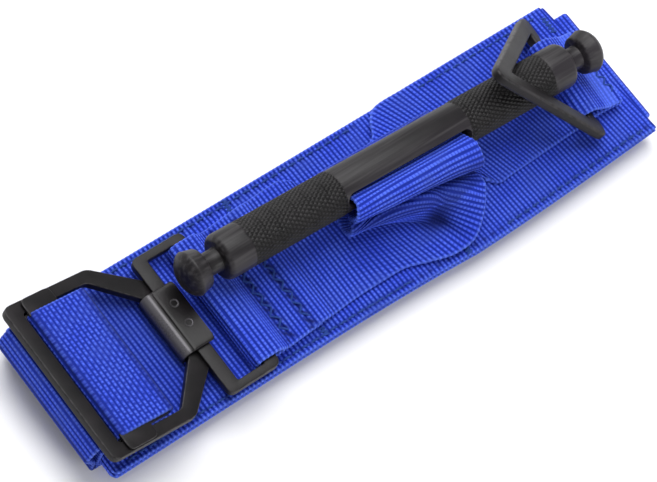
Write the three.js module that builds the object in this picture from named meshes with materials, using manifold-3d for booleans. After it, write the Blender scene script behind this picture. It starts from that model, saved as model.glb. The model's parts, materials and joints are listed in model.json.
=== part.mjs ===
// Windlass tourniquet, folded for carrying. Millimetres, +Z up.
// +X runs along the strap towards the retaining ring, +Y across it. The origin is the middle of the
// bounding box, on the surface that the folded strap lies on.
import * as THREE from "three";
import Module from "manifold-3d";
import { mergeVertices } from "three/addons/utils/BufferGeometryUtils.js";

const wasm = await Module();
wasm.setup();

// ---- webbing -------------------------------------------------------------------------------
const WEB = 1.4;                 // thickness of the strap webbing
const LAYER = 1.5;               // spacing of layers that lie on each other
const STRAP_WIDTH = 38;
const LONG_STRAP_Y = 0.6;        // middle of the long strap under the base
const RUN_C_Z = WEB / 2;         // lowest run of the folded long strap
const RUN_B_Z = RUN_C_Z + LAYER;
const RUN_A_Z = RUN_B_Z + LAYER;
const BACKING_Z = RUN_A_Z + LAYER;
const COVER_Z = BACKING_Z + LAYER;
const BASE_TOP = COVER_Z + WEB / 2;
const ON_BASE_Z = BASE_TOP + 0.1 + WEB / 2;   // middle of one strap layer lying on the base

// ---- wide base -----------------------------------------------------------------------------
const BASE_LEFT = -93.6;
const BASE_RIGHT_UPPER = 90.6;
const BASE_RIGHT_LOWER = 94.4;
const BASE_Y_UPPER = 23.3;
const BASE_Y_LOWER = -24.1;
const BASE_BULGE = 1.6;          // the lower edge is pushed out beside the windlass
const BASE_BULGE_X = 26;

// ---- windlass ------------------------------------------------------------------------------
const ROD_LENGTH = 139.7;
const ROD_R = 6.35;
const ROD_SMOOTH_R = 6.2;
const ROD_CENTRE = new THREE.Vector3(15.4, 3.8, 22.5);
const ROD_YAW = -0.033;
const SLOT_LENGTH = 40.5;
const SLOT_HEIGHT = 4;
const SLOT_TILT = THREE.MathUtils.degToRad(30);   // the slot rises towards the lower long edge
const GRIP_FROM = 21;            // half length of the smooth middle
const GRIP_TO = 51;
const NECK_R = 3.2;
const KNOB_R = 6.2;

// ---- retaining ring ------------------------------------------------------------------------
const TRI_SIDE = 41.5;           // sides of the triangle along the middle of the bar
const TRI_BAR = 3.4;
const TRI_THICK = 2.8;
const TRI_CORNER = 4.7;          // outer corner radius
const TRI_HINGE = new THREE.Vector3(76.4, 1.1, 12.4);
const TRI_YAW = THREE.MathUtils.degToRad(-5);
const TRI_TILT = THREE.MathUtils.degToRad(40);
const KEEPER_WIDTH = 25;
const KEEPER_WEB = 1.3;
const KEEPER_CLEAR = 2.1;        // inside radius of the keeper around the ring's bar

// ---- buckle --------------------------------------------------------------------------------
const RING_LEFT = -57.9;
const RING_RIGHT = -41.5;
const RING_HALF_WIDTH = 21.6;
const RING_Y = -1.7;
const RING_LEFT_BAR = 3.9;
const RING_RIGHT_BAR = 4.0;
const RING_SIDE_BAR = 2.3;
const RING_THICK = 2.5;
const RING_Z = 9.8;              // underside of the ring
const HOOK_SHEET = 1.1;
const HOOK_HALF_WIDTH = 9.4;
const HOOK_Y = 0.3;
const HOOK_LEFT = -62.9;
const HOOK_RIGHT = -52.3;
const HOOK_TOP = RING_Z + RING_THICK + 0.2 + HOOK_SHEET;
const HOOK_LOW = 7.9;            // underside of the hook's return lip
const HOOK_LIP = 2.7;
const RIVET_X = -55.7;
const RIVET_YS = { upper: 4.1, lower: -2.1 };
const RIVET_R = 0.8;
const RIVET_HOLE_R = 1.1;

const NOSE = new THREE.Vector3(-59.9, 0, 10.7);   // middle of the bar that the hook holds
const FRAME_TILT = THREE.MathUtils.degToRad(14.4);
const FRAME_THICK = 2.2;
const FRAME_LENGTH = 38.1;       // nose bar's middle to the far edge
const FRAME_HALF_WIDTH = 23.7;
const FRAME_END_BAR = 4.3;
const FRAME_RAIL = 3.5;
const FRAME_SHOULDER = -10.5;    // where the rails turn in towards the nose
const NOSE_HALF = 1.3;
const NOSE_OUTER_Y = 13.3;
const NOSE_INNER_Y = 10.0;
const SLIDER_FROM = -31.6;       // the slider's middle, along the frame
const SLIDER_TO = -16.2;
const SLIDER_THICK = 2;
const SLIDER_TAB_FROM = -30.8;
const SLIDER_TAB_TO = -21.9;
const SLIDER_TAB_THICK = 1.2;
const SLIDER_GAP = 0.3;
const TURN_WIDTH = 37.6;

// ---- finishes ------------------------------------------------------------------------------
const webbing = () => new THREE.MeshStandardMaterial({ color: 0x1c2fc4, roughness: 0.75, metalness: 0 });
const thread = () => new THREE.MeshStandardMaterial({ color: 0x2c44d8, roughness: 0.6, metalness: 0 });
const blackMetal = () => new THREE.MeshStandardMaterial({ color: 0x2b2a2c, roughness: 0.5, metalness: 0.6 });
const wornMetal = () => new THREE.MeshStandardMaterial({ color: 0x8a8a90, roughness: 0.4, metalness: 0.8 });

const model = new THREE.Group();

function addMesh(parent, name, geometry, material) {
  const mesh = new THREE.Mesh(geometry, material);
  mesh.name = name;
  parent.add(mesh);
  return mesh;
}

function groupAt(parent, position, rotation = [0, 0, 0]) {
  const group = new THREE.Group();
  group.position.copy(position);
  group.rotation.set(...rotation, "ZYX");
  parent.add(group);
  return group;
}

// ---- solids --------------------------------------------------------------------------------
function toSolid(geometry) {
  const bare = geometry.index ? geometry.toNonIndexed() : geometry.clone();
  bare.deleteAttribute("normal");
  bare.deleteAttribute("uv");
  const merged = mergeVertices(bare, 1e-4);
  return new wasm.Manifold(new wasm.Mesh({
    numProp: 3,
    vertProperties: new Float32Array(merged.attributes.position.array),
    triVerts: new Uint32Array(merged.index.array),
  }));
}

function toGeometry(solid) {
  const mesh = solid.getMesh();
  const geometry = new THREE.BufferGeometry();
  geometry.setAttribute("position", new THREE.BufferAttribute(new Float32Array(mesh.vertProperties), 3));
  geometry.setIndex(new THREE.BufferAttribute(new Uint32Array(mesh.triVerts), 1));
  geometry.computeVertexNormals();
  return geometry;
}

// A flat plate: the outline lies in XY and the thickness is centred on z.
function plate(outline, thickness, z = 0) {
  const geometry = new THREE.ExtrudeGeometry(outline, {
    depth: thickness, bevelEnabled: false, curveSegments: 5,
  });
  geometry.translate(0, 0, z - thickness / 2);
  return geometry;
}

// A polygon whose corners are rounded, each point being [x, y, radius].
function roundedPolygon(points, target = new THREE.Shape()) {
  const count = points.length;
  points.forEach(([x, y, radius], i) => {
    const here = new THREE.Vector2(x, y);
    const before = new THREE.Vector2(...points[(i + count - 1) % count]);
    const after = new THREE.Vector2(...points[(i + 1) % count]);
    const start = here.clone().add(before.sub(here).setLength(radius));
    const end = here.clone().add(after.sub(here).setLength(radius));
    if (i === 0) target.moveTo(start.x, start.y);
    else target.lineTo(start.x, start.y);
    if (radius > 0) target.quadraticCurveTo(x, y, end.x, end.y);
  });
  target.closePath();
  return target;
}

// Adds the mirror image of an upper half outline, so that the whole runs anticlockwise.
function mirroredInY(points) {
  return [...points.map(([x, y, radius]) => [x, -y, radius]), ...[...points].reverse()];
}

// ---- ribbons -------------------------------------------------------------------------------
// A strap is a run of cross lines, each from its upper edge to its lower edge.
function ribbon(lines, thickness, across = 1) {
  const rows = lines.length;
  const grid = lines.map(([upper, lower]) => {
    const row = [];
    for (let j = 0; j <= across; j += 1) row.push(upper.clone().lerp(lower, j / across));
    return row;
  });
  const position = [];
  for (const side of [0.5, -0.5]) {
    for (let i = 0; i < rows; i += 1) {
      for (let j = 0; j <= across; j += 1) {
        const along = grid[Math.min(i + 1, rows - 1)][j].clone().sub(grid[Math.max(i - 1, 0)][j]);
        const over = grid[i][Math.max(j - 1, 0)].clone().sub(grid[i][Math.min(j + 1, across)]);
        const normal = along.cross(over).normalize();
        position.push(...grid[i][j].clone().addScaledVector(normal, side * thickness).toArray());
      }
    }
  }
  const at = (side, i, j) => (side * rows + i) * (across + 1) + j;
  const index = [];
  const quad = (a, b, c, d) => index.push(a, b, c, a, c, d);
  for (let i = 0; i < rows - 1; i += 1) {
    for (let j = 0; j < across; j += 1) {
      quad(at(0, i, j), at(0, i, j + 1), at(0, i + 1, j + 1), at(0, i + 1, j));
      quad(at(1, i, j), at(1, i + 1, j), at(1, i + 1, j + 1), at(1, i, j + 1));
    }
    quad(at(0, i, 0), at(0, i + 1, 0), at(1, i + 1, 0), at(1, i, 0));
    quad(at(0, i, across), at(1, i, across), at(1, i + 1, across), at(0, i + 1, across));
  }
  for (let j = 0; j < across; j += 1) {
    quad(at(0, 0, j), at(1, 0, j), at(1, 0, j + 1), at(0, 0, j + 1));
    quad(at(0, rows - 1, j), at(0, rows - 1, j + 1), at(1, rows - 1, j + 1), at(1, rows - 1, j));
  }
  const geometry = new THREE.BufferGeometry();
  geometry.setAttribute("position", new THREE.Float32BufferAttribute(position, 3));
  geometry.setIndex(index);
  geometry.computeVertexNormals();
  return geometry;
}

// Rounds the corners of a path in the XZ plane, each point being [x, z, radius].
function roundedPath(points, steps = 4) {
  const path = [];
  points.forEach(([x, z, radius = 0], i) => {
    const here = new THREE.Vector2(x, z);
    if (radius === 0 || i === 0 || i === points.length - 1) {
      path.push(here);
      return;
    }
    const before = new THREE.Vector2(points[i - 1][0], points[i - 1][1]).sub(here).normalize();
    const after = new THREE.Vector2(points[i + 1][0], points[i + 1][1]).sub(here).normalize();
    const half = Math.acos(THREE.MathUtils.clamp(before.dot(after), -1, 1)) / 2;
    const centre = here.clone().addScaledVector(before.clone().add(after).normalize(), radius / Math.sin(half));
    const first = here.clone().addScaledVector(before, radius / Math.tan(half)).sub(centre);
    const last = here.clone().addScaledVector(after, radius / Math.tan(half)).sub(centre);
    const turn = Math.atan2(first.cross(last), first.dot(last));
    for (let k = 0; k <= steps; k += 1) {
      path.push(first.clone().rotateAround(new THREE.Vector2(), (turn * k) / steps).add(centre));
    }
  });
  return path;
}

// A strap of even width that runs along a path in the XZ plane.
function flatStrap(path, width, y, thickness = WEB) {
  const lines = path.map((p) => [
    new THREE.Vector3(p.x, y + width / 2, p.y),
    new THREE.Vector3(p.x, y - width / 2, p.y),
  ]);
  return ribbon(lines, thickness);
}

// ---- wide base -----------------------------------------------------------------------------
function baseOutline(inset) {
  const left = BASE_LEFT + inset;
  const upper = BASE_Y_UPPER - inset;
  const lower = BASE_Y_LOWER + inset;
  const outline = new THREE.Shape();
  outline.moveTo(left, upper);
  outline.lineTo(left, lower);
  outline.lineTo(BASE_BULGE_X - 60, lower);
  outline.quadraticCurveTo(BASE_BULGE_X - 25, lower, BASE_BULGE_X, lower - BASE_BULGE);
  outline.quadraticCurveTo(BASE_BULGE_X + 25, lower - BASE_BULGE, BASE_RIGHT_LOWER - inset, lower + 0.5);
  outline.lineTo(BASE_RIGHT_UPPER - inset, upper);
  outline.closePath();
  return outline;
}

function buildBase() {
  addMesh(model, "base_backing", plate(baseOutline(0), WEB, BACKING_Z), webbing());
  addMesh(model, "base_cover", plate(baseOutline(0.3), WEB, COVER_Z), webbing());
}

// ---- long strap ----------------------------------------------------------------------------
// The standing run leaves the base, rounds its left end and rises into the buckle. The tail comes
// back out of the buckle outside it, and lies folded in two runs below.
const STANDING_SEWN_X = 86;
const STANDING_RISER_X = -96.1;
const TAIL_RISER_X = -97.75;
const TAIL_FOLD_X = 98.9 - WEB / 2;
const TAIL_END_X = -58;
const RISER_TOP = 13.3;
const TAIL_RISER_TOP = 17.0;

function buildLongStrap() {
  const standing = roundedPath([
    [STANDING_SEWN_X, RUN_A_Z], [STANDING_RISER_X, RUN_A_Z, 1.2], [STANDING_RISER_X, RISER_TOP - 1.5],
    [STANDING_RISER_X + 0.1, RISER_TOP],
  ]);
  addMesh(model, "long_strap_standing", flatStrap(standing, STRAP_WIDTH, LONG_STRAP_Y), webbing());
  const tail = roundedPath([
    [-96.35, TAIL_RISER_TOP + 0.5], [TAIL_RISER_X, TAIL_RISER_TOP, 1.1], [TAIL_RISER_X, RUN_B_Z, 1.4],
    [TAIL_FOLD_X, RUN_B_Z, 0.74], [TAIL_FOLD_X, RUN_C_Z, 0.74], [TAIL_END_X, RUN_C_Z],
  ], 5);
  addMesh(model, "long_strap_tail", flatStrap(tail, STRAP_WIDTH, LONG_STRAP_Y), webbing());
}

// ---- tension strap -------------------------------------------------------------------------
// It is sewn round the rectangular ring, lies on the base, fans up into the windlass slot on the
// lower side, leaves it on the upper side and lies flat again to the right end.
const LOOP_FOLD_X = -46.9;
const LOOP_TOP_Z = RING_Z + RING_THICK + 0.3 + WEB / 2;
const SEWN_Z = ON_BASE_Z + LAYER;
const LOOP_Y = RING_Y;

function line(ux, uy, uz, lx, ly, lz) {
  return [new THREE.Vector3(ux, uy, uz), new THREE.Vector3(lx, ly, lz)];
}

// The cross lines of the twisted stretch: inner edge, then outer edge.
const FAN_IN = [
  line(-7, 19.3, ON_BASE_Z, -7, -18.7, ON_BASE_Z),
  line(-5, 19.0, ON_BASE_Z, -1, -18.7, ON_BASE_Z),
  line(-3.5, 16.5, 8.3, 6, -19.3, 8.3),
  line(-2.5, 12.5, 8.6, 13, -22.0, 8.75),
  line(-0.5, 8.5, 9.3, 20, -23.4, 8.95),
  line(0.5, 4.0, 10.2, 27.2, -23.6, 9.3),
  line(0, 1.0, 11.8, 32.0, -18.9, 11.0),
  line(-1, -2.2, 14.5, 33.9, -14.8, 15.0),
  line(-2.5, -6.0, 19.0, 34.1, -11.0, 20.0),
  line(-3.3, -7.6, 22.5, 34.2, -8.9, 23.2),
  line(-3.6, -7.0, 26.0, 34.3, -7.3, 26.2),
  line(-3.7, -4.8, 27.4, 34.3, -5.2, 27.3),
  line(-3.7, -2.2, 26.2, 34.3, -2.9, 25.9),
];
const FAN_OUT = [
  line(-3.7, 10.1, 18.9, 34.3, 9.1, 18.9),
  line(-3.4, 12.0, 17.1, 35.0, 11.2, 17.0),
  line(-1.5, 12.8, 14.6, 36.6, 11.8, 14.4),
  line(5, 13.2, 11.9, 37.6, 9.0, 11.4),
  line(13.5, 13.8, 10.3, 38.6, 3.0, 9.8),
  line(20.5, 15.4, 9.7, 39.5, -4.5, 9.0),
  line(23.3, 19.6, 9.2, 41.2, -10.0, 8.6),
  line(27.0, 22.6, 8.6, 44.0, -13.6, ON_BASE_Z),
  line(38.0, 23.2, ON_BASE_Z, 48.0, -14.1, ON_BASE_Z),
];
const TENSION_END = line(88.5, 23.2, ON_BASE_Z, 89.5, -14.3, ON_BASE_Z);

function smoothLines(lines, steps) {
  const upper = new THREE.CatmullRomCurve3(lines.map((l) => l[0]), false, "centripetal");
  const lower = new THREE.CatmullRomCurve3(lines.map((l) => l[1]), false, "centripetal");
  const result = [];
  const last = lines.length - 1;
  for (let k = 0; k <= last * steps; k += 1) {
    const t = k / (last * steps);
    result.push([upper.getPoint(t), lower.getPoint(t)]);
  }
  return result;
}

function buildTensionStrap() {
  const loop = roundedPath([
    [-24, ON_BASE_Z], [LOOP_FOLD_X, ON_BASE_Z, 1.6], [LOOP_FOLD_X, LOOP_TOP_Z, 1.6],
    [-40.5, LOOP_TOP_Z, 1.5], [-36.5, SEWN_Z, 1.5], [-23.5, SEWN_Z, 1], [-19.5, ON_BASE_Z, 1],
    [-14, ON_BASE_Z],
  ]);
  const half = STRAP_WIDTH / 2;
  const loopLines = loop.map((p) => {
    const y = LOOP_Y + 2.0 * THREE.MathUtils.smoothstep(p.x, -40, -8);
    return line(p.x, y + half, p.y, p.x, y - half, p.y);
  });
  const lines = [...loopLines, ...smoothLines([...FAN_IN, ...FAN_OUT], 3), TENSION_END];
  addMesh(model, "tension_strap", ribbon(lines, WEB, 4), webbing());
}

// ---- windlass ------------------------------------------------------------------------------
function rodProfile() {
  const half = ROD_LENGTH / 2;
  const right = [
    [0, ROD_SMOOTH_R], [GRIP_FROM - 0.15, ROD_SMOOTH_R], [GRIP_FROM, ROD_R], [GRIP_TO + 6.2, ROD_R],
    [GRIP_TO + 7.1, ROD_R - 0.45], [GRIP_TO + 7.5, ROD_R - 1.2], [GRIP_TO + 7.5, NECK_R],
    [half - 6.4, NECK_R], [half - 5.6, KNOB_R - 0.9], [half - 5.0, KNOB_R - 0.15], [half - 4.5, KNOB_R],
    [half - 2.2, KNOB_R], [half - 1.2, KNOB_R - 0.8], [half - 0.5, KNOB_R - 2.2],
    [half - 0.12, KNOB_R - 4.0], [half, 0],
  ];
  const left = right.slice(1).reverse().map(([x, r]) => [-x, r]);
  return [...left, ...right].map(([x, r]) => new THREE.Vector2(r, x));
}

function buildWindlass() {
  const turned = new THREE.LatheGeometry(rodProfile(), 40);
  turned.rotateZ(-Math.PI / 2);
  const run = SLOT_LENGTH / 2 - SLOT_HEIGHT / 2;
  const mouth = new THREE.Shape();
  mouth.absarc(run, 0, SLOT_HEIGHT / 2, -Math.PI / 2, Math.PI / 2, false);
  mouth.absarc(-run, 0, SLOT_HEIGHT / 2, Math.PI / 2, 1.5 * Math.PI, false);
  const slot = plate(mouth, 4 * ROD_R);
  slot.rotateX(Math.PI / 2 - SLOT_TILT);
  const rod = toGeometry(toSolid(turned).subtract(toSolid(slot)));
  const group = groupAt(model, ROD_CENTRE, [0, 0, ROD_YAW]);
  addMesh(group, "windlass_rod", rod, blackMetal());
}

// ---- retaining ring and its keeper ---------------------------------------------------------
// A triangle pointing along -x, with the middle of its third bar on the y axis.
function triangle(side, offset, radius, target) {
  const reach = (side * Math.sqrt(3)) / 2 + 2 * offset;
  const half = side / 2 + offset * Math.sqrt(3);
  return roundedPolygon([
    [offset, half, radius * Math.sqrt(3)], [-reach, 0, radius * Math.sqrt(3)],
    [offset, -half, radius * Math.sqrt(3)],
  ], target);
}

function buildTriRing() {
  const bevel = 0.9;
  const outline = triangle(TRI_SIDE, TRI_BAR / 2 - bevel, TRI_CORNER - bevel);
  outline.holes.push(triangle(TRI_SIDE, bevel - TRI_BAR / 2, TRI_CORNER - TRI_BAR + bevel, new THREE.Path()));
  const geometry = new THREE.ExtrudeGeometry(outline, {
    depth: TRI_THICK - 2 * bevel, bevelThickness: bevel, bevelSize: bevel, bevelSegments: 3,
    curveSegments: 6,
  });
  geometry.translate(0, 0, bevel - TRI_THICK / 2);
  const group = groupAt(model, TRI_HINGE, [0, TRI_TILT, TRI_YAW]);
  addMesh(group, "tri_ring", toGeometry(toSolid(geometry)), blackMetal());
}

function buildKeeper() {
  const r = KEEPER_CLEAR + KEEPER_WEB / 2;
  const low = BASE_TOP + 0.1 + WEB + 0.1 + KEEPER_WEB / 2 - TRI_HINGE.z;
  const path = roundedPath([
    [13.2, low], [-r, low, r - 0.1], [-r, r, r - 0.1], [1.8, r, 2.2], [8.4, low + KEEPER_WEB + 0.15, 2],
    [13.2, low + KEEPER_WEB + 0.15],
  ], 5);
  const group = groupAt(model, TRI_HINGE, [0, 0, TRI_YAW]);
  addMesh(group, "keeper_loop", flatStrap(path, KEEPER_WIDTH, -0.8, KEEPER_WEB), webbing());
}

// ---- rectangular ring and hook -------------------------------------------------------------
function roundHole(x, y, radius) {
  const hole = new THREE.Path();
  hole.absarc(x, y, radius, 0, 2 * Math.PI, true);
  return hole;
}

function buildRing() {
  const outline = roundedPolygon([
    [RING_LEFT, RING_Y + RING_HALF_WIDTH, 2.2], [RING_LEFT, RING_Y - RING_HALF_WIDTH, 2.2],
    [RING_RIGHT, RING_Y - RING_HALF_WIDTH, 2.2], [RING_RIGHT, RING_Y + RING_HALF_WIDTH, 2.2],
  ]);
  const x0 = RING_LEFT + RING_LEFT_BAR;
  const x1 = RING_RIGHT - RING_RIGHT_BAR;
  const half = RING_HALF_WIDTH - RING_SIDE_BAR;
  outline.holes.push(roundedPolygon([
    [x0, RING_Y + half, 0.6], [x1, RING_Y + half, 0.6], [x1, RING_Y - half, 0.6], [x0, RING_Y - half, 0.6],
  ], new THREE.Path()));
  for (const y of Object.values(RIVET_YS)) outline.holes.push(roundHole(RIVET_X, y, RIVET_HOLE_R));
  addMesh(model, "rectangular_ring", plate(outline, RING_THICK, RING_Z + RING_THICK / 2), blackMetal());
}

// Bent sheet: a flat top over the ring, a wall down its left side and a short lip back below.
function hookSection() {
  const inner = HOOK_LEFT + HOOK_SHEET;
  const lipEnd = HOOK_LEFT + HOOK_LIP;
  return roundedPolygon([
    [HOOK_LEFT, HOOK_TOP, 1.3], [HOOK_LEFT, HOOK_LOW, 1.3], [lipEnd, HOOK_LOW, 0.2],
    [lipEnd, HOOK_LOW + HOOK_SHEET - 0.1, 0.2], [inner, HOOK_LOW + HOOK_SHEET - 0.1, 0.2],
    [inner, HOOK_TOP - HOOK_SHEET, 0.2], [HOOK_RIGHT, HOOK_TOP - HOOK_SHEET, 0.2], [HOOK_RIGHT, HOOK_TOP, 0.2],
  ]);
}

function buildHook() {
  const sheet = plate(hookSection(), 2 * HOOK_HALF_WIDTH);
  sheet.rotateX(Math.PI / 2);
  sheet.translate(0, HOOK_Y, 0);
  let hook = toSolid(sheet);
  for (const [place, y] of Object.entries(RIVET_YS)) {
    const drill = new THREE.CylinderGeometry(RIVET_HOLE_R, RIVET_HOLE_R, 10, 20);
    drill.rotateX(Math.PI / 2);
    drill.translate(RIVET_X, y, HOOK_TOP);
    hook = hook.subtract(toSolid(drill));
    addMesh(model, `hook_rivet_${place}`, rivet(y), wornMetal());
  }
  addMesh(model, "hook_plate", toGeometry(hook), blackMetal());
}

function rivet(y) {
  const low = RING_Z + 0.1;
  const head = HOOK_TOP + 0.05;
  const profile = [
    [0, low], [RIVET_R, low], [RIVET_R, head], [1.6, head], [1.5, head + 0.2], [1.0, head + 0.38],
    [0, head + 0.45],
  ].map(([r, z]) => new THREE.Vector2(r, z));
  const geometry = new THREE.LatheGeometry(profile, 20);
  geometry.rotateX(Math.PI / 2);
  geometry.translate(RIVET_X, y, 0);
  return toGeometry(toSolid(geometry));
}

// ---- D-frame, its slider and the turn of strap over the slider -----------------------------
function buildFrame() {
  const group = groupAt(model, NOSE, [0, FRAME_TILT, 0]);
  const outline = roundedPolygon(mirroredInY([
    [-FRAME_LENGTH, FRAME_HALF_WIDTH, 2.6], [FRAME_SHOULDER, FRAME_HALF_WIDTH - 0.2, 1.2],
    [NOSE_HALF, NOSE_OUTER_Y, 0.8],
  ]));
  outline.holes.push(roundedPolygon(mirroredInY([
    [-FRAME_LENGTH + FRAME_END_BAR, FRAME_HALF_WIDTH - FRAME_RAIL, 0.8],
    [FRAME_SHOULDER - 2, FRAME_HALF_WIDTH - FRAME_RAIL - 0.1, 1.2], [-NOSE_HALF, NOSE_INNER_Y, 0.4],
  ]), new THREE.Path()));
  addMesh(group, "d_frame", plate(outline, FRAME_THICK), blackMetal());
  addMesh(group, "slider_bar", toGeometry(sliderSolid()), blackMetal());
  addMesh(group, "long_strap_turn", flatStrap(turnPath(), TURN_WIDTH, 0), webbing());
}

// A flat bar between the rails whose forked ends lap each rail above and below.
function sliderSolid() {
  const rail = FRAME_HALF_WIDTH - FRAME_RAIL;
  const web = rail - SLIDER_GAP;
  const tab = FRAME_HALF_WIDTH - 0.3;
  let solid = toSolid(plate(roundedPolygon(mirroredInY([
    [SLIDER_FROM, TURN_WIDTH / 2 + 0.3, 0.3], [SLIDER_TO, TURN_WIDTH / 2 + 0.3, 0.3],
  ])), SLIDER_THICK));
  const tabOutline = (side) => roundedPolygon([
    [SLIDER_TAB_FROM, side * (TURN_WIDTH / 2 + 0.28), 0], [SLIDER_TAB_TO, side * (TURN_WIDTH / 2 + 0.28), 0],
    [SLIDER_TAB_TO, side * tab, 1.6], [SLIDER_TAB_FROM, side * tab, 1.6],
  ]);
  const reach = FRAME_THICK / 2 + SLIDER_GAP + SLIDER_TAB_THICK;
  const postWidth = web - TURN_WIDTH / 2 - 0.28;
  for (const side of [1, -1]) {
    for (const face of [1, -1]) {
      const z = face * (reach - SLIDER_TAB_THICK / 2);
      solid = solid.add(toSolid(plate(tabOutline(side), SLIDER_TAB_THICK, z)));
    }
    const post = new THREE.BoxGeometry(SLIDER_TAB_TO - SLIDER_TAB_FROM - 0.2, postWidth, 2 * reach - 0.2);
    post.translate((SLIDER_TAB_FROM + SLIDER_TAB_TO) / 2, side * (web - postWidth / 2), 0);
    solid = solid.add(toSolid(post));
  }
  return solid;
}

// The strap comes up under the frame's end bar, wraps the slider's right edge and leaves again
// between the slider and the end bar.
function turnPath() {
  const gap = SLIDER_GAP - 0.1;
  const over = SLIDER_THICK / 2 + gap + WEB / 2;
  const right = SLIDER_TO + gap + WEB / 2;
  const left = SLIDER_FROM - gap - WEB / 2;
  const tailLow = -FRAME_THICK / 2 - gap - 0.25 - WEB / 2;
  return roundedPath([
    [-35.6, -5.4], [-34.2, -4.2, 1.0], [-30.5, -4.0, 1.5], [-27, -over, 1.5], [right, -over, 0.9],
    [right, over, 0.9], [left, over, 0.9], [left, tailLow, 0.9], [-36.0, tailLow],
  ], 4);
}

// ---- sewing threads ------------------------------------------------------------------------
const THREAD_WIDTH = 0.8;
const THREAD_THICK = 0.35;

// A row of stitches as one low bead from one point to another on a level surface.
function stitchRow(name, from, to, surface, width = THREAD_WIDTH) {
  const a = new THREE.Vector3(from[0], from[1], 0);
  const b = new THREE.Vector3(to[0], to[1], 0);
  const box = new THREE.BoxGeometry(a.distanceTo(b), width, THREAD_THICK);
  box.rotateZ(Math.atan2(b.y - a.y, b.x - a.x));
  const middle = a.add(b).multiplyScalar(0.5);
  box.translate(middle.x, middle.y, surface + 0.05 + THREAD_THICK / 2);
  addMesh(model, name, box, thread());
}

function buildThreads() {
  const onStrap = ON_BASE_Z + WEB / 2;
  const onLoop = SEWN_Z + WEB / 2;
  stitchRow("edge_stitch_lower_left", [-88, -22.1], [5, -22.1], BASE_TOP);
  stitchRow("edge_stitch_lower_right", [38, -22.1], [90, -22.1], BASE_TOP);
  stitchRow("edge_stitch_upper", [-62, 21.4], [20, 21.4], BASE_TOP);
  stitchRow("strap_stitch_upper", [42, 20.9], [86, 20.9], onStrap);
  stitchRow("ring_stitch_outer", [-34.3, 15.5], [-34.3, -18.5], onLoop);
  stitchRow("ring_stitch_inner", [-27.2, 15.8], [-27.2, -18.2], onLoop);
  stitchRow("bar_tack_upper_left", [-24.5, 20.6], [-24.5, 18.9], BASE_TOP, 1.6);
  stitchRow("bar_tack_lower_left", [-24.5, -21.3], [-24.5, -19.9], BASE_TOP, 1.6);
  stitchRow("bar_tack_lower_right", [23.5, -22.9], [23.5, -24.9], BASE_TOP, 1.6);
  stitchRow("bar_tack_end", [87.0, 19.5], [87.0, 14.5], onStrap, 1.6);
  const keeperTop = BASE_TOP + 0.2 + WEB + 2 * KEEPER_WEB + 0.15;
  stitchRow("keeper_stitch", [86.6, 8.5], [87.9, -9.5], keeperTop, 1.6);
}

buildBase();
buildLongStrap();
buildTensionStrap();
buildWindlass();
buildTriRing();
buildKeeper();
buildRing();
buildHook();
buildFrame();
buildThreads();

// The origin goes to the middle of the bounding box, at its bottom.
model.updateMatrixWorld(true);
const extent = new THREE.Box3().setFromObject(model, true);
const middle = extent.getCenter(new THREE.Vector3());
model.position.set(-middle.x, -middle.y, -extent.min.z);

export default model;
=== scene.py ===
import json
import math

import bmesh
import bpy
import numpy as np
from mathutils import Matrix, Vector


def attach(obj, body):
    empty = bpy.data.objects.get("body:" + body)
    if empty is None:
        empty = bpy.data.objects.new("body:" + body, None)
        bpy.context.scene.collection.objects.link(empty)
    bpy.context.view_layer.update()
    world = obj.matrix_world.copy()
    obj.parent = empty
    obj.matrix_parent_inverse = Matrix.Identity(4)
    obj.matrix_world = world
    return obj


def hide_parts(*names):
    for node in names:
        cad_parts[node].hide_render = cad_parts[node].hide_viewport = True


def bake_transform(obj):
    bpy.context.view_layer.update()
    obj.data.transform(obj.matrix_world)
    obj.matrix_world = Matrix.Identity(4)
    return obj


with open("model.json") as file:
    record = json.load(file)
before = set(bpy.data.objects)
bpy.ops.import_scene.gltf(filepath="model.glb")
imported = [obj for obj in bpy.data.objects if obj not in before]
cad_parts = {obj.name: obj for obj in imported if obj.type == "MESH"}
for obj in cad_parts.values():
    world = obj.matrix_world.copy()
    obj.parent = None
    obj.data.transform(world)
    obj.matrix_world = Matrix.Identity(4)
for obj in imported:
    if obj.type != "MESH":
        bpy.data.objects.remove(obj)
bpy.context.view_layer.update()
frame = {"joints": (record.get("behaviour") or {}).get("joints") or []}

bl_info = {
    "name": "Folded windlass tourniquet",
    "version": (1, 0, 0),
    "blender": (4, 5, 0),
    "location": "3D View > Sidebar > Tourniquet",
    "description": "Weaves the straps, turns the rod and shapes the metal of a folded windlass tourniquet",
    "category": "Object",
}

# ---- where the drawing lies in the frame ---------------------------------------------------
# Shapes are drawn in millimetres. The nose bar of the buckle frame ties the drawing to the frame.
MM = 0.001
JOINTS = {joint["name"]: joint for joint in frame["joints"]}
NOSE = np.array([-59.9, 0.0, 10.7])
ZERO = np.array(JOINTS["buckle_frame_hinge"]["pos_m"]) - MM * NOSE

# ---- straps --------------------------------------------------------------------------------
WEB = 1.4
LAYER = 1.5
STRAP_WIDTH = 38.0
LONG_STRAP_Y = 0.6
RUN_C_Z = WEB / 2
RUN_B_Z = RUN_C_Z + LAYER
RUN_A_Z = RUN_B_Z + LAYER
BACKING_Z = RUN_A_Z + LAYER
COVER_Z = BACKING_Z + LAYER
BASE_TOP = COVER_Z + WEB / 2
ON_BASE_Z = BASE_TOP + 0.1 + WEB / 2
SEWN_Z = ON_BASE_Z + LAYER

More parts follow.
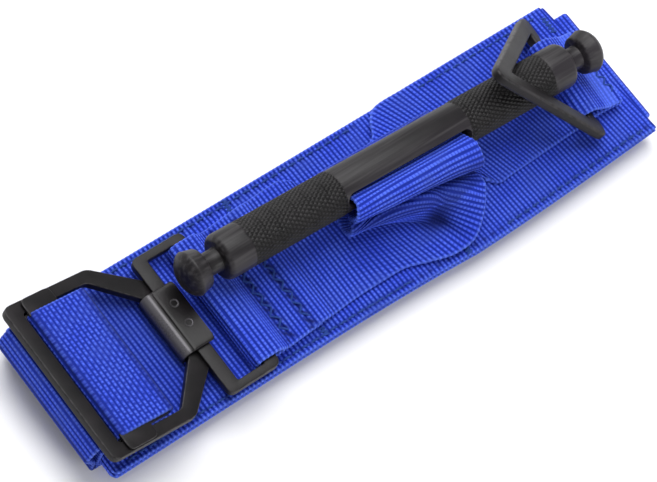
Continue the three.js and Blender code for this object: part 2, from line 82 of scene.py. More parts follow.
BASE_LEFT = -93.6
BASE_RIGHT_UPPER = 90.6
BASE_RIGHT_LOWER = 94.4
BASE_Y_UPPER = 23.3
BASE_Y_LOWER = -24.1
BASE_BULGE = 1.6
BASE_BULGE_X = 26.0
BASE_CORNER = 1.6                # reach of the rounding of its left corners
BASE_SEAM_IN = 2.1               # from the edge of the base to its seam
RISER_X = -94.4                  # where the long strap rises at the left end
TAIL_FOLD_X = 98.9 - WEB / 2     # where its tail folds back at the right end

# ---- metal ---------------------------------------------------------------------------------
ROD_CENTRE = np.array([15.4, 3.8, 22.5])
ROD_YAW = -0.033
ROD_HALF = 69.85
ROD_R = 6.35
ROD_SMOOTH_R = 6.2
GRIP_FROM = 21.0
GRIP_TO = 51.0
NECK_R = 3.2
KNOB_R = 6.2
SLOT_LENGTH = 40.5
SLOT_HEIGHT = 4.0
SLOT_TILT = math.radians(30)

TRI_HALF = 18.1                  # half the hinge side, along the middle of its bar
TRI_REACH = 40.4                 # from the hinge side to the point
TRI_BAR = 4.7
TRI_THICK = 2.7
TRI_CORNER = 3.6
TRI_SHIFT = (0.7, 0.45)          # the bar's middle from the hinge line
TRI_WAIST = 1.7                  # outer edge of the bar from the hinge line, inside the keeper
TRI_HINGE = np.array([76.4, 1.1, 12.4])
TRI_YAW = math.radians(-5)
TRI_TILT = math.radians(40)
TRI_PLACE = (TRI_YAW, TRI_TILT, TRI_HINGE)
KEEPER_WIDTH = 24.6
KEEPER_WEB = 1.3
KEEPER_Y = -0.55
KEEPER_RADIUS = 2.75

RING_LEFT = -57.9
RING_RIGHT = -41.5
RING_HALF_WIDTH = 21.6
RING_Y = -1.7
RING_BAR = 3.95
RING_SIDE_BAR = 2.3
RING_THICK = 2.5
RING_Z = 9.8
HOOK_SHEET = 1.1
HOOK_HALF_WIDTH = 9.4
HOOK_Y = 0.3
HOOK_TOP = RING_Z + RING_THICK + 0.2 + HOOK_SHEET
RIVET_X = -55.7
RIVETS = {"upper": 4.1, "lower": -2.1}

FRAME_TILT = math.radians(14.4)
FRAME_PLACE = (0, FRAME_TILT, NOSE)
FRAME_THICK = 2.2
FRAME_LENGTH = 38.1
FRAME_HALF_WIDTH = 23.7
FRAME_END_BAR = 4.3
FRAME_RAIL = 3.5
FRAME_SHOULDER = -10.5
NOSE_HALF = 1.3
NOSE_OUTER_Y = 13.3
NOSE_INNER_Y = 10.0
SLIDER_FROM = -31.6
SLIDER_TO = -16.2
SLIDER_THICK = 2.0
TAB_FROM = -33.0
TAB_TO = -23.4
TAB_THICK = 0.75
SLIDER_GAP = 0.3
TURN_WIDTH = 38.5

# ---- sewing thread -------------------------------------------------------------------------
THREAD_R = 0.27
STITCH = 2.35                    # length of one stitch in a straight row
STITCH_GAP = 0.75
STITCH_RISE = 0.32
EDGE_SEAM_FROM = -88.0           # left end of the seam along the base's lower edge
RING_SEAMS = (-34.3, -27.2)      # the two rows of stitches by the rectangular ring

# ---- surface detail ------------------------------------------------------------------------
BRICK = 2.3                      # length of the long floats on the strap's turn
SCALLOP = 0.07                   # how far the edges of the webbing dip between ribs
HOLLOW_ROWS = 16                 # rows each way that count as a point's surroundings
BARE_AND_HIGHLIGHT = (0.1, 0.096, 0.105)       # colour of metal rubbed bare, also used for painted highlights
CREASE = math.radians(38)        # sharper edges than this aren't shaded smooth
BEND_STEPS = 8                   # pieces that a rounded corner of a strap's path is made of
EDGE_STEPS = 4                   # pieces that a rounded edge of flat metal is made of

# ---- view ----------------------------------------------------------------------------------
EYE = (-331.5, -159.4, 638.3)
EYE_RIGHT = Vector((0.7605, -0.6034, 0.2398))
EYE_UP = Vector((0.4719, 0.7673, 0.4342))
EYE_BACK = Vector((-0.446, -0.217, 0.8683))


class WebbingSettings(bpy.types.PropertyGroup):
    """Sizes and colours of the woven straps"""

    rib_pitch: bpy.props.FloatProperty(
        name="Rib pitch", description="Distance from one cross rib to the next",
        default=1.33 * MM, min=0.5 * MM, precision=5, unit="LENGTH")
    rib_depth: bpy.props.FloatProperty(
        name="Rib depth", description="How deep the groove between two ribs is",
        default=0.24 * MM, min=0.0, precision=5, unit="LENGTH")
    yarn_width: bpy.props.FloatProperty(
        name="Yarn width", description="Width of one bundle of lengthwise yarns",
        default=1.05 * MM, min=0.3 * MM, precision=5, unit="LENGTH")
    colour: bpy.props.FloatVectorProperty(
        name="Webbing", description="Colour of the crowns of the ribs",
        default=(0.039, 0.085, 0.75), subtype="COLOR", min=0.0, max=1.0)
    light_colour: bpy.props.FloatVectorProperty(
        name="Highlights", description="Colour where the yarns catch the light",
        default=(0.135, 0.245, 0.92), subtype="COLOR", min=0.0, max=1.0)
    # The groove colour is painted shade between the ribs.
    groove_colour: bpy.props.FloatVectorProperty(
        name="Grooves", description="Colour between the ribs",
        default=(0.007, 0.023, 0.3), subtype="COLOR", min=0.0, max=1.0)
    thread_colour: bpy.props.FloatVectorProperty(
        name="Thread", description="Colour of the sewing thread",
        default=(0.035, 0.09, 0.42), subtype="COLOR", min=0.0, max=1.0)


class MetalSettings(bpy.types.PropertyGroup):
    """Sizes and colours of the rod, rings and buckle"""

    black: bpy.props.FloatVectorProperty(
        name="Black finish", description="Colour of the blackened metal",
        default=(0.0038, 0.0033, 0.004), subtype="COLOR", min=0.0, max=1.0)
    worn: bpy.props.FloatVectorProperty(
        name="Worn edge", description="Colour of edges that have rubbed bright",
        default=(0.05, 0.047, 0.05), subtype="COLOR", min=0.0, max=1.0)
    knurl_starts: bpy.props.IntProperty(
        name="Knurl starts", description="Number of grooves each way round the grip",
        default=32, min=12, max=60)
    knurl_depth: bpy.props.FloatProperty(
        name="Knurl depth", description="Height of the diamonds on the grips",
        default=0.3 * MM, min=0.0, precision=5, unit="LENGTH")


class StageSettings(bpy.types.PropertyGroup):
    """Floor, lights and lens"""

    lens: bpy.props.FloatProperty(
        name="Lens", description="Focal length for a sensor 36 mm wide", default=152.88, min=20.0)
    floor_colour: bpy.props.FloatVectorProperty(
        name="Floor", description="Colour of the floor",
        default=(0.86, 0.86, 0.865), subtype="COLOR", min=0.0, max=1.0)
    key_power: bpy.props.FloatProperty(
        name="Key light", description="Power of the large soft light overhead", default=11.0,
        min=0.0, subtype="POWER")
    sky: bpy.props.FloatProperty(
        name="Room light", description="Strength of the even light from all round", default=0.5, min=0.0)


# ---- finishes ------------------------------------------------------------------------------
class Signal:
    """One output of a node, used in sums and products as a number is."""

    def __init__(self, finish, socket):
        self.finish = finish
        self.socket = socket

    def _math(self, operation, first, second):
        return self.finish.node("ShaderNodeMath", {"operation": operation}, {0: first, 1: second})

    def __add__(self, other):
        return self._math("ADD", self, other)

    def __radd__(self, other):
        return self._math("ADD", other, self)

    def __sub__(self, other):
        return self._math("SUBTRACT", self, other)

    def __rsub__(self, other):
        return self._math("SUBTRACT", other, self)

    def __mul__(self, other):
        return self._math("MULTIPLY", self, other)

    def __rmul__(self, other):
        return self._math("MULTIPLY", other, self)


class Finish:
    """A material being made, with one Principled shader."""

    def __init__(self, name, **shader_values):
        self.material = bpy.data.materials.new(name)
        self.material.use_nodes = True
        self.tree = self.material.node_tree
        self.shader = self.tree.nodes["Principled BSDF"]
        for label, value in shader_values.items():
            self.shader.inputs[label.replace("_", " ")].default_value = value

    def node(self, kind, settings, values, output=0):
        """Adds a node, sets it up, and feeds its sockets with values or signals."""
        made = self.tree.nodes.new(kind)
        for label, value in settings.items():
            setattr(made, label, value)
        for key, value in values.items():
            self.feed(made.inputs[key], value)
        return Signal(self, made.outputs[output])

    def feed(self, socket, value):
        """Links a signal to a socket, or sets the socket's own value."""
        if isinstance(value, Signal):
            self.tree.links.new(value.socket, socket)
        else:
            socket.default_value = value

    def drive(self, label, signal):
        """Links a signal to one of the shader's sockets."""
        self.feed(self.shader.inputs[label], signal)

    def call(self, operation, value, second=0.0):
        """A function of one number, such as its absolute value."""
        return self.node("ShaderNodeMath", {"operation": operation}, {0: value, 1: second})

    def spread(self, value, low, high):
        """0 below low, 1 above high, and smooth between."""
        ends = {"Value": value, "From Min": low, "From Max": high}
        return self.node("ShaderNodeMapRange", {"interpolation_type": "SMOOTHSTEP"}, ends)

    def blend(self, factor, first, second):
        """Mixes two colours, given as signals or plain RGB."""
        first, second = (c if isinstance(c, Signal) else (*c, 1.0) for c in (first, second))
        return self.node("ShaderNodeMix", {"data_type": "RGBA"}, {0: factor, 6: first, 7: second}, 2)

    def attribute(self, name):
        """The three numbers that a mesh carries under that name."""
        return self.three(self.node("ShaderNodeAttribute", {"attribute_name": name}, {}, "Vector"))

    def three(self, vector):
        """The three numbers of a point or vector."""
        return [self.node("ShaderNodeSeparateXYZ", {}, {0: vector}, i) for i in range(3)]

    def place(self, x, y, z=0.0):
        """A point put together from three numbers."""
        return self.node("ShaderNodeCombineXYZ", {}, {0: x, 1: y, 2: z})

    def noise(self, at, scale, detail=2.0):
        """Soft random values round 0.5."""
        return self.node("ShaderNodeTexNoise", {}, {"Vector": at, "Scale": scale, "Detail": detail})

    def body_place(self):
        """The point on the piece itself, in metres."""
        return self.node("ShaderNodeTexCoord", {}, {}, "Object")

    def wave(self, turn):
        """1 at every full turn and 0 halfway between."""
        return 0.5 + 0.5 * self.call("COSINE", turn)

    def bump(self, height, distance):
        """Raises the surface by height times distance, in metres."""
        self.drive("Normal", self.node("ShaderNodeBump", {}, {"Height": height, "Distance": distance}))


def toned(colour, amount):
    """A colour made lighter or darker, by one amount or by one for each channel."""
    return np.multiply(colour, amount)


def webbing_finish(name, settings):
    """Nylon webbing: rounded cross ribs broken up by the lengthwise yarns."""
    finish = Finish(name, Roughness=0.6, Specular_IOR_Level=0.14, Sheen_Weight=0.06, Sheen_Roughness=0.45)
    finish.shader.inputs["Sheen Tint"].default_value = (0.4, 0.5, 1.0, 1.0)
    along, across, inward = finish.attribute("weave")
    melted, painted_shade, coarse = finish.attribute("wear_and_painted_light")
    slip = finish.noise(finish.place(along * 0.35, across * 0.5), 1.0, 2.0)
    rib_turn = along * (2 * math.pi / (settings.rib_pitch / MM))
    yarn_turn = (across + 0.35 * slip) * (2 * math.pi / (settings.yarn_width / MM))
    rib = finish.wave(rib_turn)
    yarn = finish.wave(yarn_turn)
    fibre = finish.noise(finish.place(along * 2.2, across * 16.0), 1.0, 3.0)
    patch = finish.noise(finish.place(along * 0.1, across * 0.14, inward * 0.02), 1.0, 3.0)
    crown = finish.spread(rib + 0.25 * (fibre - 0.5), 0.12, 0.8)
    squares = crown * (0.55 + 0.45 * finish.spread(yarn + 0.3 * (fibre - 0.5), 0.08, 0.55))
    course = finish.call("FLOOR", along * (MM / settings.rib_pitch) + 0.5)
    brick_turn = (across + 0.25 * slip) * (2 * math.pi / BRICK) + course * math.pi
    gaps = 1.0 - finish.spread(finish.wave(brick_turn), 0.02, 0.3)
    squares = squares * (1.0 - 0.75 * coarse * gaps)
    # Painted shade: the grooves between the ribs and the gaps between yarns and floats take the darker
    # groove colour.
    base = finish.blend(squares, settings.groove_colour, settings.colour)
    lit = finish.spread(fibre * 0.6 + patch * 0.6 + squares * 0.35, 0.7, 1.15)
    colour = finish.blend(lit * 0.6, base, settings.light_colour)
    rim = (1.0 - finish.spread(inward, 0.05, 0.7)) * (0.15 + 0.4 * fibre)
    colour = finish.blend(rim, colour, settings.light_colour)
    colour = finish.blend(finish.spread(patch, 0.5, 0.72) * 0.45, colour, toned(settings.colour, 0.5))
    # Painted shade: the strap goes towards a deep groove colour where its painted shade mark is set.
    colour = finish.blend(painted_shade * 0.95, colour, toned(settings.groove_colour, 0.4))
    glazed = finish.blend(finish.spread(fibre, 0.35, 0.65), settings.colour, settings.light_colour)
    colour = finish.blend(melted * 0.45, colour, glazed)
    finish.drive("Base Color", colour)
    finish.drive("Roughness", 0.72 - 0.14 * crown + 0.15 * (fibre - 0.5) - 0.15 * melted)
    height = (0.65 * yarn * crown + 0.35 * crown) * (1.0 - 0.7 * melted) + 0.35 * fibre
    finish.bump(height, 0.2 * MM)
    return finish.material


def thread_finish(settings):
    """Bonded sewing thread with the twist of its plies."""
    finish = Finish("sewing_thread", Roughness=0.6, Specular_IOR_Level=0.12)
    along, across, _ = finish.attribute("weave")
    ply = finish.call("ABSOLUTE", finish.call("SINE", along * 7.0 + across * 3.0))
    tone = finish.noise(finish.body_place(), 900.0)
    dark = toned(settings.thread_colour, 0.35)
    finish.drive("Base Color", finish.blend(ply * 0.6 + tone * 0.4, dark, settings.thread_colour))
    finish.drive("Roughness", 0.42 + 0.25 * tone)
    finish.bump(ply, 0.08 * MM)
    return finish.material


def black_finish(name, settings, roughness=0.42):
    """Blackened metal with a fine grain, cloudy sheen, edges rubbed lighter, and bright marks that are
    partly worn bare and partly painted highlight.
    """
    finish = Finish(name, Roughness=roughness, Metallic=0.0, Specular_IOR_Level=0.23)
    edge, wear_and_painted_highlight, _ = finish.attribute("wear_and_painted_light")
    spot = finish.body_place()
    cloud = finish.noise(spot, 160.0, 4.0)
    fine = finish.noise(spot, 2600.0, 2.0)
    scratch = finish.noise(spot, 700.0, 4.0)
    brown = toned(settings.black, (2.0, 1.8, 1.85))
    colour = finish.blend(finish.spread(cloud, 0.35, 0.7), settings.black, brown)
    wear = edge * finish.spread(scratch + 0.35 * cloud, 0.45, 0.85)
    colour = finish.blend(wear * 0.75, colour, settings.worn)
    # Bright marks: the hook's worn bend with a painted highlight on it, and painted highlights on the
    # rivets' rims.
    colour = finish.blend(wear_and_painted_highlight * (0.75 + 0.25 * cloud), colour, BARE_AND_HIGHLIGHT)
    finish.drive("Base Color", colour)
    finish.drive("Metallic", 0.2 * wear + 0.3 * wear_and_painted_highlight)
    uneven = 0.16 * (cloud - 0.5) + 0.1 * (fine - 0.5)
    finish.drive("Roughness", roughness + uneven - 0.1 * wear - 0.06 * wear_and_painted_highlight)
    finish.bump(0.6 * fine + 0.4 * scratch, 0.035 * MM)
    return finish.material


def rod_finish(settings):
    """Black anodised rod: turning lines on the plain parts, paler crests on the knurl."""
    finish = Finish("anodised_rod", Roughness=0.36, Specular_IOR_Level=0.25)
    along, crest, knurled = finish.attribute("turning")
    edge = finish.attribute("wear_and_painted_light")[0]
    spot = finish.body_place()
    rounds = finish.three(spot)
    lines = finish.noise(finish.place(along * 0.03, rounds[1] * 900.0, rounds[2] * 900.0), 1.0, 3.0)
    cloud = finish.noise(spot, 140.0, 3.0)
    warm = toned(settings.black, (1.8, 1.65, 1.65))
    colour = finish.blend(finish.spread(cloud, 0.3, 0.75), settings.black, warm)
    plain = 1.0 - knurled
    # The plain parts are lifted a little, and lighter still on the side facing the front: a painted
    # highlight.
    below = float(in_frame(ROD_CENTRE)[1]) - rounds[1]
    front = finish.spread(below * (1 / (ROD_R * MM)), -0.1, 0.75)
    colour = finish.blend(plain * (0.1 + 0.7 * front), colour, toned(settings.black, 7.0))
    streak = finish.spread(lines, 0.42, 0.72) * plain
    colour = finish.blend(streak * 0.6, colour, settings.worn)
    # Painted shade: the knurl is darker away from its crests, in its grooves.
    colour = finish.blend(knurled * (1.0 - crest) * 0.85, colour, toned(settings.black, 0.35))
    crests = finish.spread(crest, 0.75, 1.0) * knurled * finish.spread(cloud, 0.25, 0.65)
    colour = finish.blend(crests * 0.3 + edge * 0.3, colour, settings.worn)
    finish.drive("Base Color", colour)
    uneven = 0.35 * (lines - 0.5) * plain + 0.1 * (cloud - 0.5)
    finish.drive("Roughness", 0.44 + 0.04 * knurled + uneven)
    finish.bump(lines * (1.0 - 0.8 * knurled), 0.06 * MM)
    return finish.material


def floor_finish(settings):
    """Pale matt floor."""
    finish = Finish("pale_floor", Roughness=0.9, Specular_IOR_Level=0.1)
    cloud = finish.noise(finish.body_place(), 6.0, 2.0)
    pale = settings.floor_colour
    finish.drive("Base Color", finish.blend(cloud, pale, toned(pale, 0.985)))
    return finish.material


# ---- meshes --------------------------------------------------------------------------------
def in_frame(points):
    """Drawing millimetres to metres in the frame."""
    return ZERO + MM * np.asarray(points, float)


def shade_smoothly(mesh):
    """Smooth shading except at the creases."""
    mesh.shade_smooth()
    mesh.set_sharp_from_angle(angle=CREASE)


def put_in_scene(name, mesh):
    """An object for a finished mesh."""
    shade_smoothly(mesh)
    made = bpy.data.objects.new(name, mesh)
    bpy.context.scene.collection.objects.link(made)
    return made


def mark(mesh, label, values):
    """Stores three numbers at each vertex for the finishes to read."""
    made = mesh.attributes.new(label, "FLOAT_VECTOR", "POINT")
    made.data.foreach_set("vector", np.asarray(values, np.float32).ravel())


def three(*numbers):
    """Three numbers at each point, from arrays of fitting shapes."""
    return np.stack(np.broadcast_arrays(*numbers), -1)


def loft(name, rings, marks, ends=True):
    """A closed skin over rings of points (rows, points, 3), with flat ends or joined end to end."""
    rows, around = rings.shape[:2]
    at = np.arange(rows * around).reshape(rows, around)
    here = at if not ends else at[:-1]
    there = np.roll(at, -1, 0) if not ends else at[1:]
    quads = np.stack([here, np.roll(here, -1, 1), np.roll(there, -1, 1), there], -1).reshape(-1, 4)
    faces = quads.tolist()
    if ends:
        faces += [at[0, ::-1].tolist(), at[-1].tolist()]
    mesh = bpy.data.meshes.new(name)
    mesh.from_pydata(in_frame(rings).reshape(-1, 3).tolist(), [], faces)
    for label, values in marks.items():
        mark(mesh, label, values)
    return mesh


def outward(mesh):
    """Turns every face of a closed mesh outwards."""
    work = bmesh.new()
    work.from_mesh(mesh)
    bmesh.ops.recalc_face_normals(work, faces=work.faces)
    work.to_mesh(mesh)
    work.free()
    return mesh


def joined(name, meshes):
    """Several meshes as one, with their marks."""
    work = bmesh.new()
    for mesh in meshes:
        work.from_mesh(mesh)
        bpy.data.meshes.remove(mesh)
    whole = bpy.data.meshes.new(name)
    work.to_mesh(whole)
    work.free()
    return whole


def turned_to(points, yaw, tilt, origin):
    """Points of a local drawing tilted about Y, then turned about Z, then moved."""
    turn = Matrix.Rotation(yaw, 3, "Z") @ Matrix.Rotation(tilt, 3, "Y")
    return np.asarray(points, float) @ np.array(turn).T + np.asarray(origin)


# ---- lines and paths -----------------------------------------------------------------------
def ramp(distance, length):
    """0 before a place and 1 from that length past it, rising evenly between."""
    return np.clip(distance / length, 0, 1)


def ridge(distance, width):
    """1 at a place, fading smoothly to both sides of it."""
    return np.exp(-(distance / width) ** 2)


def corner_curve(start, corner, stop, t):
    """A curve from start to stop that leaves and arrives along the sides of a corner."""
    return (1 - t) ** 2 * start + 2 * t * (1 - t) * corner + t * t * stop


def rounded_path(points):
    """Rounds the corners of a path, each point being (x, z, radius)."""
    path = []
    for i, (x, z, *radius) in enumerate(points):
        here = np.array([x, z], float)
        if not radius or i in (0, len(points) - 1):
            path.append(here)
            continue
        before = np.array(points[i - 1][:2], float) - here
        after = np.array(points[i + 1][:2], float) - here
        before /= np.linalg.norm(before)
        after /= np.linalg.norm(after)
        half = math.acos(np.clip(before @ after, -1, 1)) / 2
        middle = before + after
        centre = here + middle / np.linalg.norm(middle) * radius[0] / math.sin(half)
        first = here + before * radius[0] / math.tan(half) - centre
        last = here + after * radius[0] / math.tan(half) - centre
        turn = math.atan2(first[0] * last[1] - first[1] * last[0], first @ last)
        for k in range(BEND_STEPS + 1):
            c, s = math.cos(turn * k / BEND_STEPS), math.sin(turn * k / BEND_STEPS)
            path.append(centre + np.array([first[0] * c - first[1] * s, first[0] * s + first[1] * c]))
    return np.array(path)


ACROSS = 5                       # points in one cross line of a strap


def line(*ends):
    """One straight cross line of a strap, from its upper to its lower edge."""
    upper, lower = np.array(ends[:3], float), np.array(ends[3:], float)
    share = np.linspace(0, 1, ACROSS)[:, None]
    return upper + (lower - upper) * share


def level_lines(path, width, y):
    """Cross lines of even width along a path in the XZ plane."""
    half = width / 2
    return np.array([line(x, y + half, z, x, y - half, z) for x, z in path])


def smooth_curve(points, steps):
    """A centripetal Catmull-Rom curve through points, with steps between neighbours."""
    points = np.asarray(points, float)
    held = np.vstack([2 * points[0] - points[1], points, 2 * points[-1] - points[-2]])
    result = []
    for i in range(len(points) - 1):
        p0, p1, p2, p3 = held[i:i + 4]
        gaps = np.linalg.norm(np.diff(held[i:i + 4], axis=0), axis=1)
        d0, d1, d2 = np.maximum(gaps ** 0.5, 1e-4)
        t1 = ((p1 - p0) / d0 - (p2 - p0) / (d0 + d1) + (p2 - p1) / d1) * d1
        t2 = ((p2 - p1) / d1 - (p3 - p1) / (d1 + d2) + (p3 - p2) / d2) * d1
        for t in np.arange(steps) / steps:
            a, b = 2 * p1 - 2 * p2 + t1 + t2, -3 * p1 + 3 * p2 - 2 * t1 - t2
            result.append(p1 + t1 * t + b * t * t + a * t ** 3)
    result.append(points[-1])
    return np.array(result)


def smooth_lines(lines, steps):
    """Cross lines filled in smoothly between the given ones."""
    lines = np.asarray(lines, float)
    return np.stack([smooth_curve(lines[:, k], steps) for k in range(ACROSS)], 1)


def even_lines(lines, step):
    """Cross lines spaced evenly along the strap, and how far along each is."""
    steps = np.linalg.norm(np.diff(lines, axis=0), axis=2).mean(1)
    gone = np.concatenate([[0], np.cumsum(steps)])
    count = max(2, int(round(gone[-1] / step)) + 1)
    along = np.linspace(0, gone[-1], count)
    flat = lines.reshape(len(lines), -1)
    spaced = np.stack([np.interp(along, gone, flat[:, k]) for k in range(flat.shape[1])], 1)
    return spaced.reshape(-1, ACROSS, 3), along


def equal_columns(lines):
    """Slides the points of each column along it until its steps are even, so that ribs stay even."""
    share = np.linspace(0, 1, len(lines))
    columns = []
    for k in range(ACROSS):
        column = lines[:, k]
        gone = np.concatenate([[0], np.cumsum(np.linalg.norm(np.diff(column, axis=0), axis=1))])
        columns.append(np.stack([np.interp(share * gone[-1], gone, column[:, c]) for c in range(3)], 1))
    return np.stack(columns, 1)


def running_mean(padded, rows):
    """Each row averaged with that many neighbours each way. The padding at the ends goes."""
    kernel = np.hanning(2 * rows + 3)[1:-1]
    kernel /= kernel.sum()
    total = np.zeros(padded[2 * rows:].shape)
    for k, weight in enumerate(kernel):
        total += weight * padded[k:k + len(total)]
    return total


def softened(lines, rows):
    """Takes the creases out of a run of cross lines by averaging over neighbours."""
    before = 2 * lines[:1] - lines[rows:0:-1]
    after = 2 * lines[-1:] - lines[-2:-rows - 2:-1]
    return running_mean(np.concatenate([before, lines, after]), rows)


def across_lines(lines, places):
    """Points on each cross line at places from -1, its upper edge, to 1, on a smooth curve."""
    before = 2 * lines[:, :1] - lines[:, 1:2]
    after = 2 * lines[:, -1:] - lines[:, -2:-1]
    held = np.concatenate([before, lines, after], 1)
    spot = (np.asarray(places) + 1) / 2 * (ACROSS - 1)
    first = np.clip(np.floor(spot).astype(int), 0, ACROSS - 2)
    t = (spot - first)[None, :, None]
    p0, p1, p2, p3 = (held[:, first + k] for k in range(4))
    bend = 2 * p0 - 5 * p1 + 4 * p2 - p3
    return p1 + 0.5 * t * (p2 - p0 + t * (bend + t * (3 * (p1 - p2) + p3 - p0)))


# ---- woven straps --------------------------------------------------------------------------
def strap_section(columns, half_width, half_thick):
    """Points round a strap's section: place across from -1 to 1, and height from -1 to 1."""
    turns = np.radians([0, 22, 45, 67, 90])
    edge = 1 - half_thick * (1 - np.cos(turns)) / half_width
    inner = np.linspace(-edge[-1], edge[-1], columns)[1:-1]
    across = np.concatenate([-edge, inner, edge[::-1]])
    height = np.concatenate([np.sin(turns), np.ones(len(inner)), np.sin(turns[::-1])])
    return np.concatenate([across, across[-2:0:-1]]), np.concatenate([height, -height[-2:0:-1]])


def ripple(along, across, seed, size):
    """Slow unevenness of a strap, as a sum of a few long waves."""
    draw = np.random.RandomState(seed)
    total = np.zeros(np.broadcast(along, across).shape)
    for _ in range(7):
        reach = draw.uniform(9, 34)
        slant = draw.uniform(-1.2, 1.2)
        total = total + np.sin(2 * np.pi * (along + slant * across) / reach + draw.uniform(0, 6.28))
    return size * total / 7


def hollows(skin, facing):
    """How deep each point lies below its surroundings along the strap, from 0 to 1."""
    before, after = (end.repeat(HOLLOW_ROWS, 0) for end in (skin[:1], skin[-1:]))
    total = running_mean(np.concatenate([before, skin, after]), HOLLOW_ROWS)
    return ramp(((total - skin) * facing).sum(2), 0.9)


def woven(name, lines, settings, columns, uneven, seed, thickness=WEB, relief=None, melt=None,
          painted_shade_of=None, coarse=0.0):
    """A strap with real cross ribs along a run of cross lines, closed and rounded at its edges."""
    pitch = settings.rib_pitch / MM
    depth = settings.rib_depth / MM
    lines, along = even_lines(np.asarray(lines, float), pitch / 6)
    width = np.linalg.norm(np.diff(lines, axis=1), axis=2).sum(1)[:, None]
    across, height = strap_section(columns, width.mean() / 2, thickness / 2)
    rib = (0.5 + 0.5 * np.cos(2 * np.pi * along / pitch))[:, None] ** 0.7
    melted = np.zeros_like(rib) if melt is None else melt(along)[:, None]
    cut = depth * (1 - rib) * (1 - 0.6 * melted)
    skin = across_lines(lines, across)
    aslant = across_lines(lines, across + 0.01) - across_lines(lines, across - 0.01)
    facing = np.cross(aslant, np.gradient(skin, axis=0))
    facing /= np.linalg.norm(facing, axis=2, keepdims=True)
    aside = across[None] * width / 2
    outer = np.abs(across) > 1 - thickness / width.mean()
    inset_by = SCALLOP * (1 - rib) * np.sign(across) * outer
    aslant /= np.linalg.norm(aslant, axis=2, keepdims=True)
    lift = height[None] * (thickness / 2 - cut) + ripple(along[:, None], aside, seed, uneven)
    if relief is not None:
        lift = lift + relief(along[:, None], aside, skin)
    rings = skin + facing * lift[..., None] - aslant * inset_by[..., None]
    weave = three(along[:, None], aside, width / 2 - np.abs(aside))
    # Painted shade: the strap's own shading function plus more in its hollows and creases.
    painted_shade = 0 * aside
    if painted_shade_of is not None:
        painted_shade = np.clip(painted_shade_of(skin) + 0.85 * hollows(skin, facing), 0, 1)
    marks = {"weave": weave, "wear_and_painted_light": three(melted, painted_shade, coarse)}
    return put_in_scene(name, loft(name, rings, marks))


def base_lower_edge(x):
    """Where the base's lower long edge is at x."""
    t = np.linspace(0, 1, 25)
    middle, low, out = BASE_BULGE_X, BASE_Y_LOWER, BASE_Y_LOWER - BASE_BULGE
    first_x = corner_curve(middle - 60, middle - 25, middle, t)
    first_y = corner_curve(low, low, out, t)
    second_x = corner_curve(middle, middle + 25, BASE_RIGHT_LOWER, t)
    second_y = corner_curve(out, out, low + 0.5, t)
    xs = np.concatenate([[BASE_LEFT], first_x, second_x[1:]])
    ys = np.concatenate([[low], first_y, second_y[1:]])
    return np.interp(x, xs, ys)


def lower_seam(x):
    """Where the seam along the base's lower edge is at x."""
    return base_lower_edge(x) + BASE_SEAM_IN


def base_lines(smaller, z):
    """Cross lines of one layer of the base, with its left corners rounded off."""
    share = np.linspace(0, 1, 380)
    left = BASE_LEFT + smaller
    upper_x = left + (BASE_RIGHT_UPPER - smaller - left) * share
    lower_x = left + (BASE_RIGHT_LOWER - smaller - left) * share
    near = np.clip(1 - (upper_x - left) / BASE_CORNER, 0, 1)
    nip = BASE_CORNER * (1 - np.sqrt(1 - near ** 2)) * 0.8
    upper_y = BASE_Y_UPPER - smaller - nip
    lower_y = base_lower_edge(lower_x) + smaller + nip
    zs = np.full_like(share, z)
    return np.array([line(*ends) for ends in zip(upper_x, upper_y, zs, lower_x, lower_y, zs)])


def seam_relief(*seams):
    """Sewn channels: each seam is (from x, to x, y or a function of x, depth)."""
    def relief(along, aside, skin):
        x, y = skin[..., 0], skin[..., 1]
        total = np.zeros(x.shape)
        for start, stop, place, depth in seams:
            here = place(x) if callable(place) else place
            within = ramp(x - start, 2) * ramp(stop - x, 2)
            pull = 0.75 + 0.25 * np.cos(2 * np.pi * x / 3.0)
            total -= depth * within * pull * ridge(y - here, 0.75)
            total += 0.35 * depth * within * ridge(y - here + 1.7, 0.9)
        return total
    return relief


def base_shade(skin):
    """Painted shade in small pits where the base's stitches go in and along its seams, and a painted shadow
    on the part below the buckle.
    """
    x, y = skin[..., 0], skin[..., 1]
    place = (x - EDGE_SEAM_FROM - 2.7) / (STITCH + STITCH_GAP)
    pits = np.clip(np.cos(2 * np.pi * place) * 1.4, 0, 1)
    total = ridge(y - lower_seam(x), 0.6)
    total += ridge(y - BASE_Y_UPPER + BASE_SEAM_IN, 0.6) * (x > -62) * (x < 20)
    below_buckle = ramp(x + 86, 8) * ramp(-56 - x, 5) * (np.abs(y) < 19.5)
    return total * (0.2 + 0.7 * pits) + 0.3 * below_buckle


def build_base(settings, finish):
    """The two wide layers that the tourniquet is sewn on."""
    seams = seam_relief((BASE_LEFT, 5, lower_seam, 0.32), (36, BASE_RIGHT_LOWER, lower_seam, 0.32),
                        (-62, 20, BASE_Y_UPPER - BASE_SEAM_IN, 0.3))
    cover = woven("base_cover_webbing", base_lines(0.3, COVER_Z), settings, columns=52, uneven=0.05,
                  seed=3, relief=seams, painted_shade_of=base_shade)
    backing = woven("base_backing_webbing", base_lines(0.0, BACKING_Z), settings, columns=12, uneven=0.03,
                    seed=3)
    for piece, node in ((cover, "base_cover"), (backing, "base_backing")):
        piece.data.materials.append(finish)
        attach(piece, "strap_and_base")
        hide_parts(node)


# ---- long strap ----------------------------------------------------------------------------
def on_frame(x, z):
    """A point of the tilted buckle frame's own drawing, as X and Z of the whole drawing."""
    c, s = math.cos(FRAME_TILT), math.sin(FRAME_TILT)
    return NOSE[0] + x * c + z * s, NOSE[2] - x * s + z * c


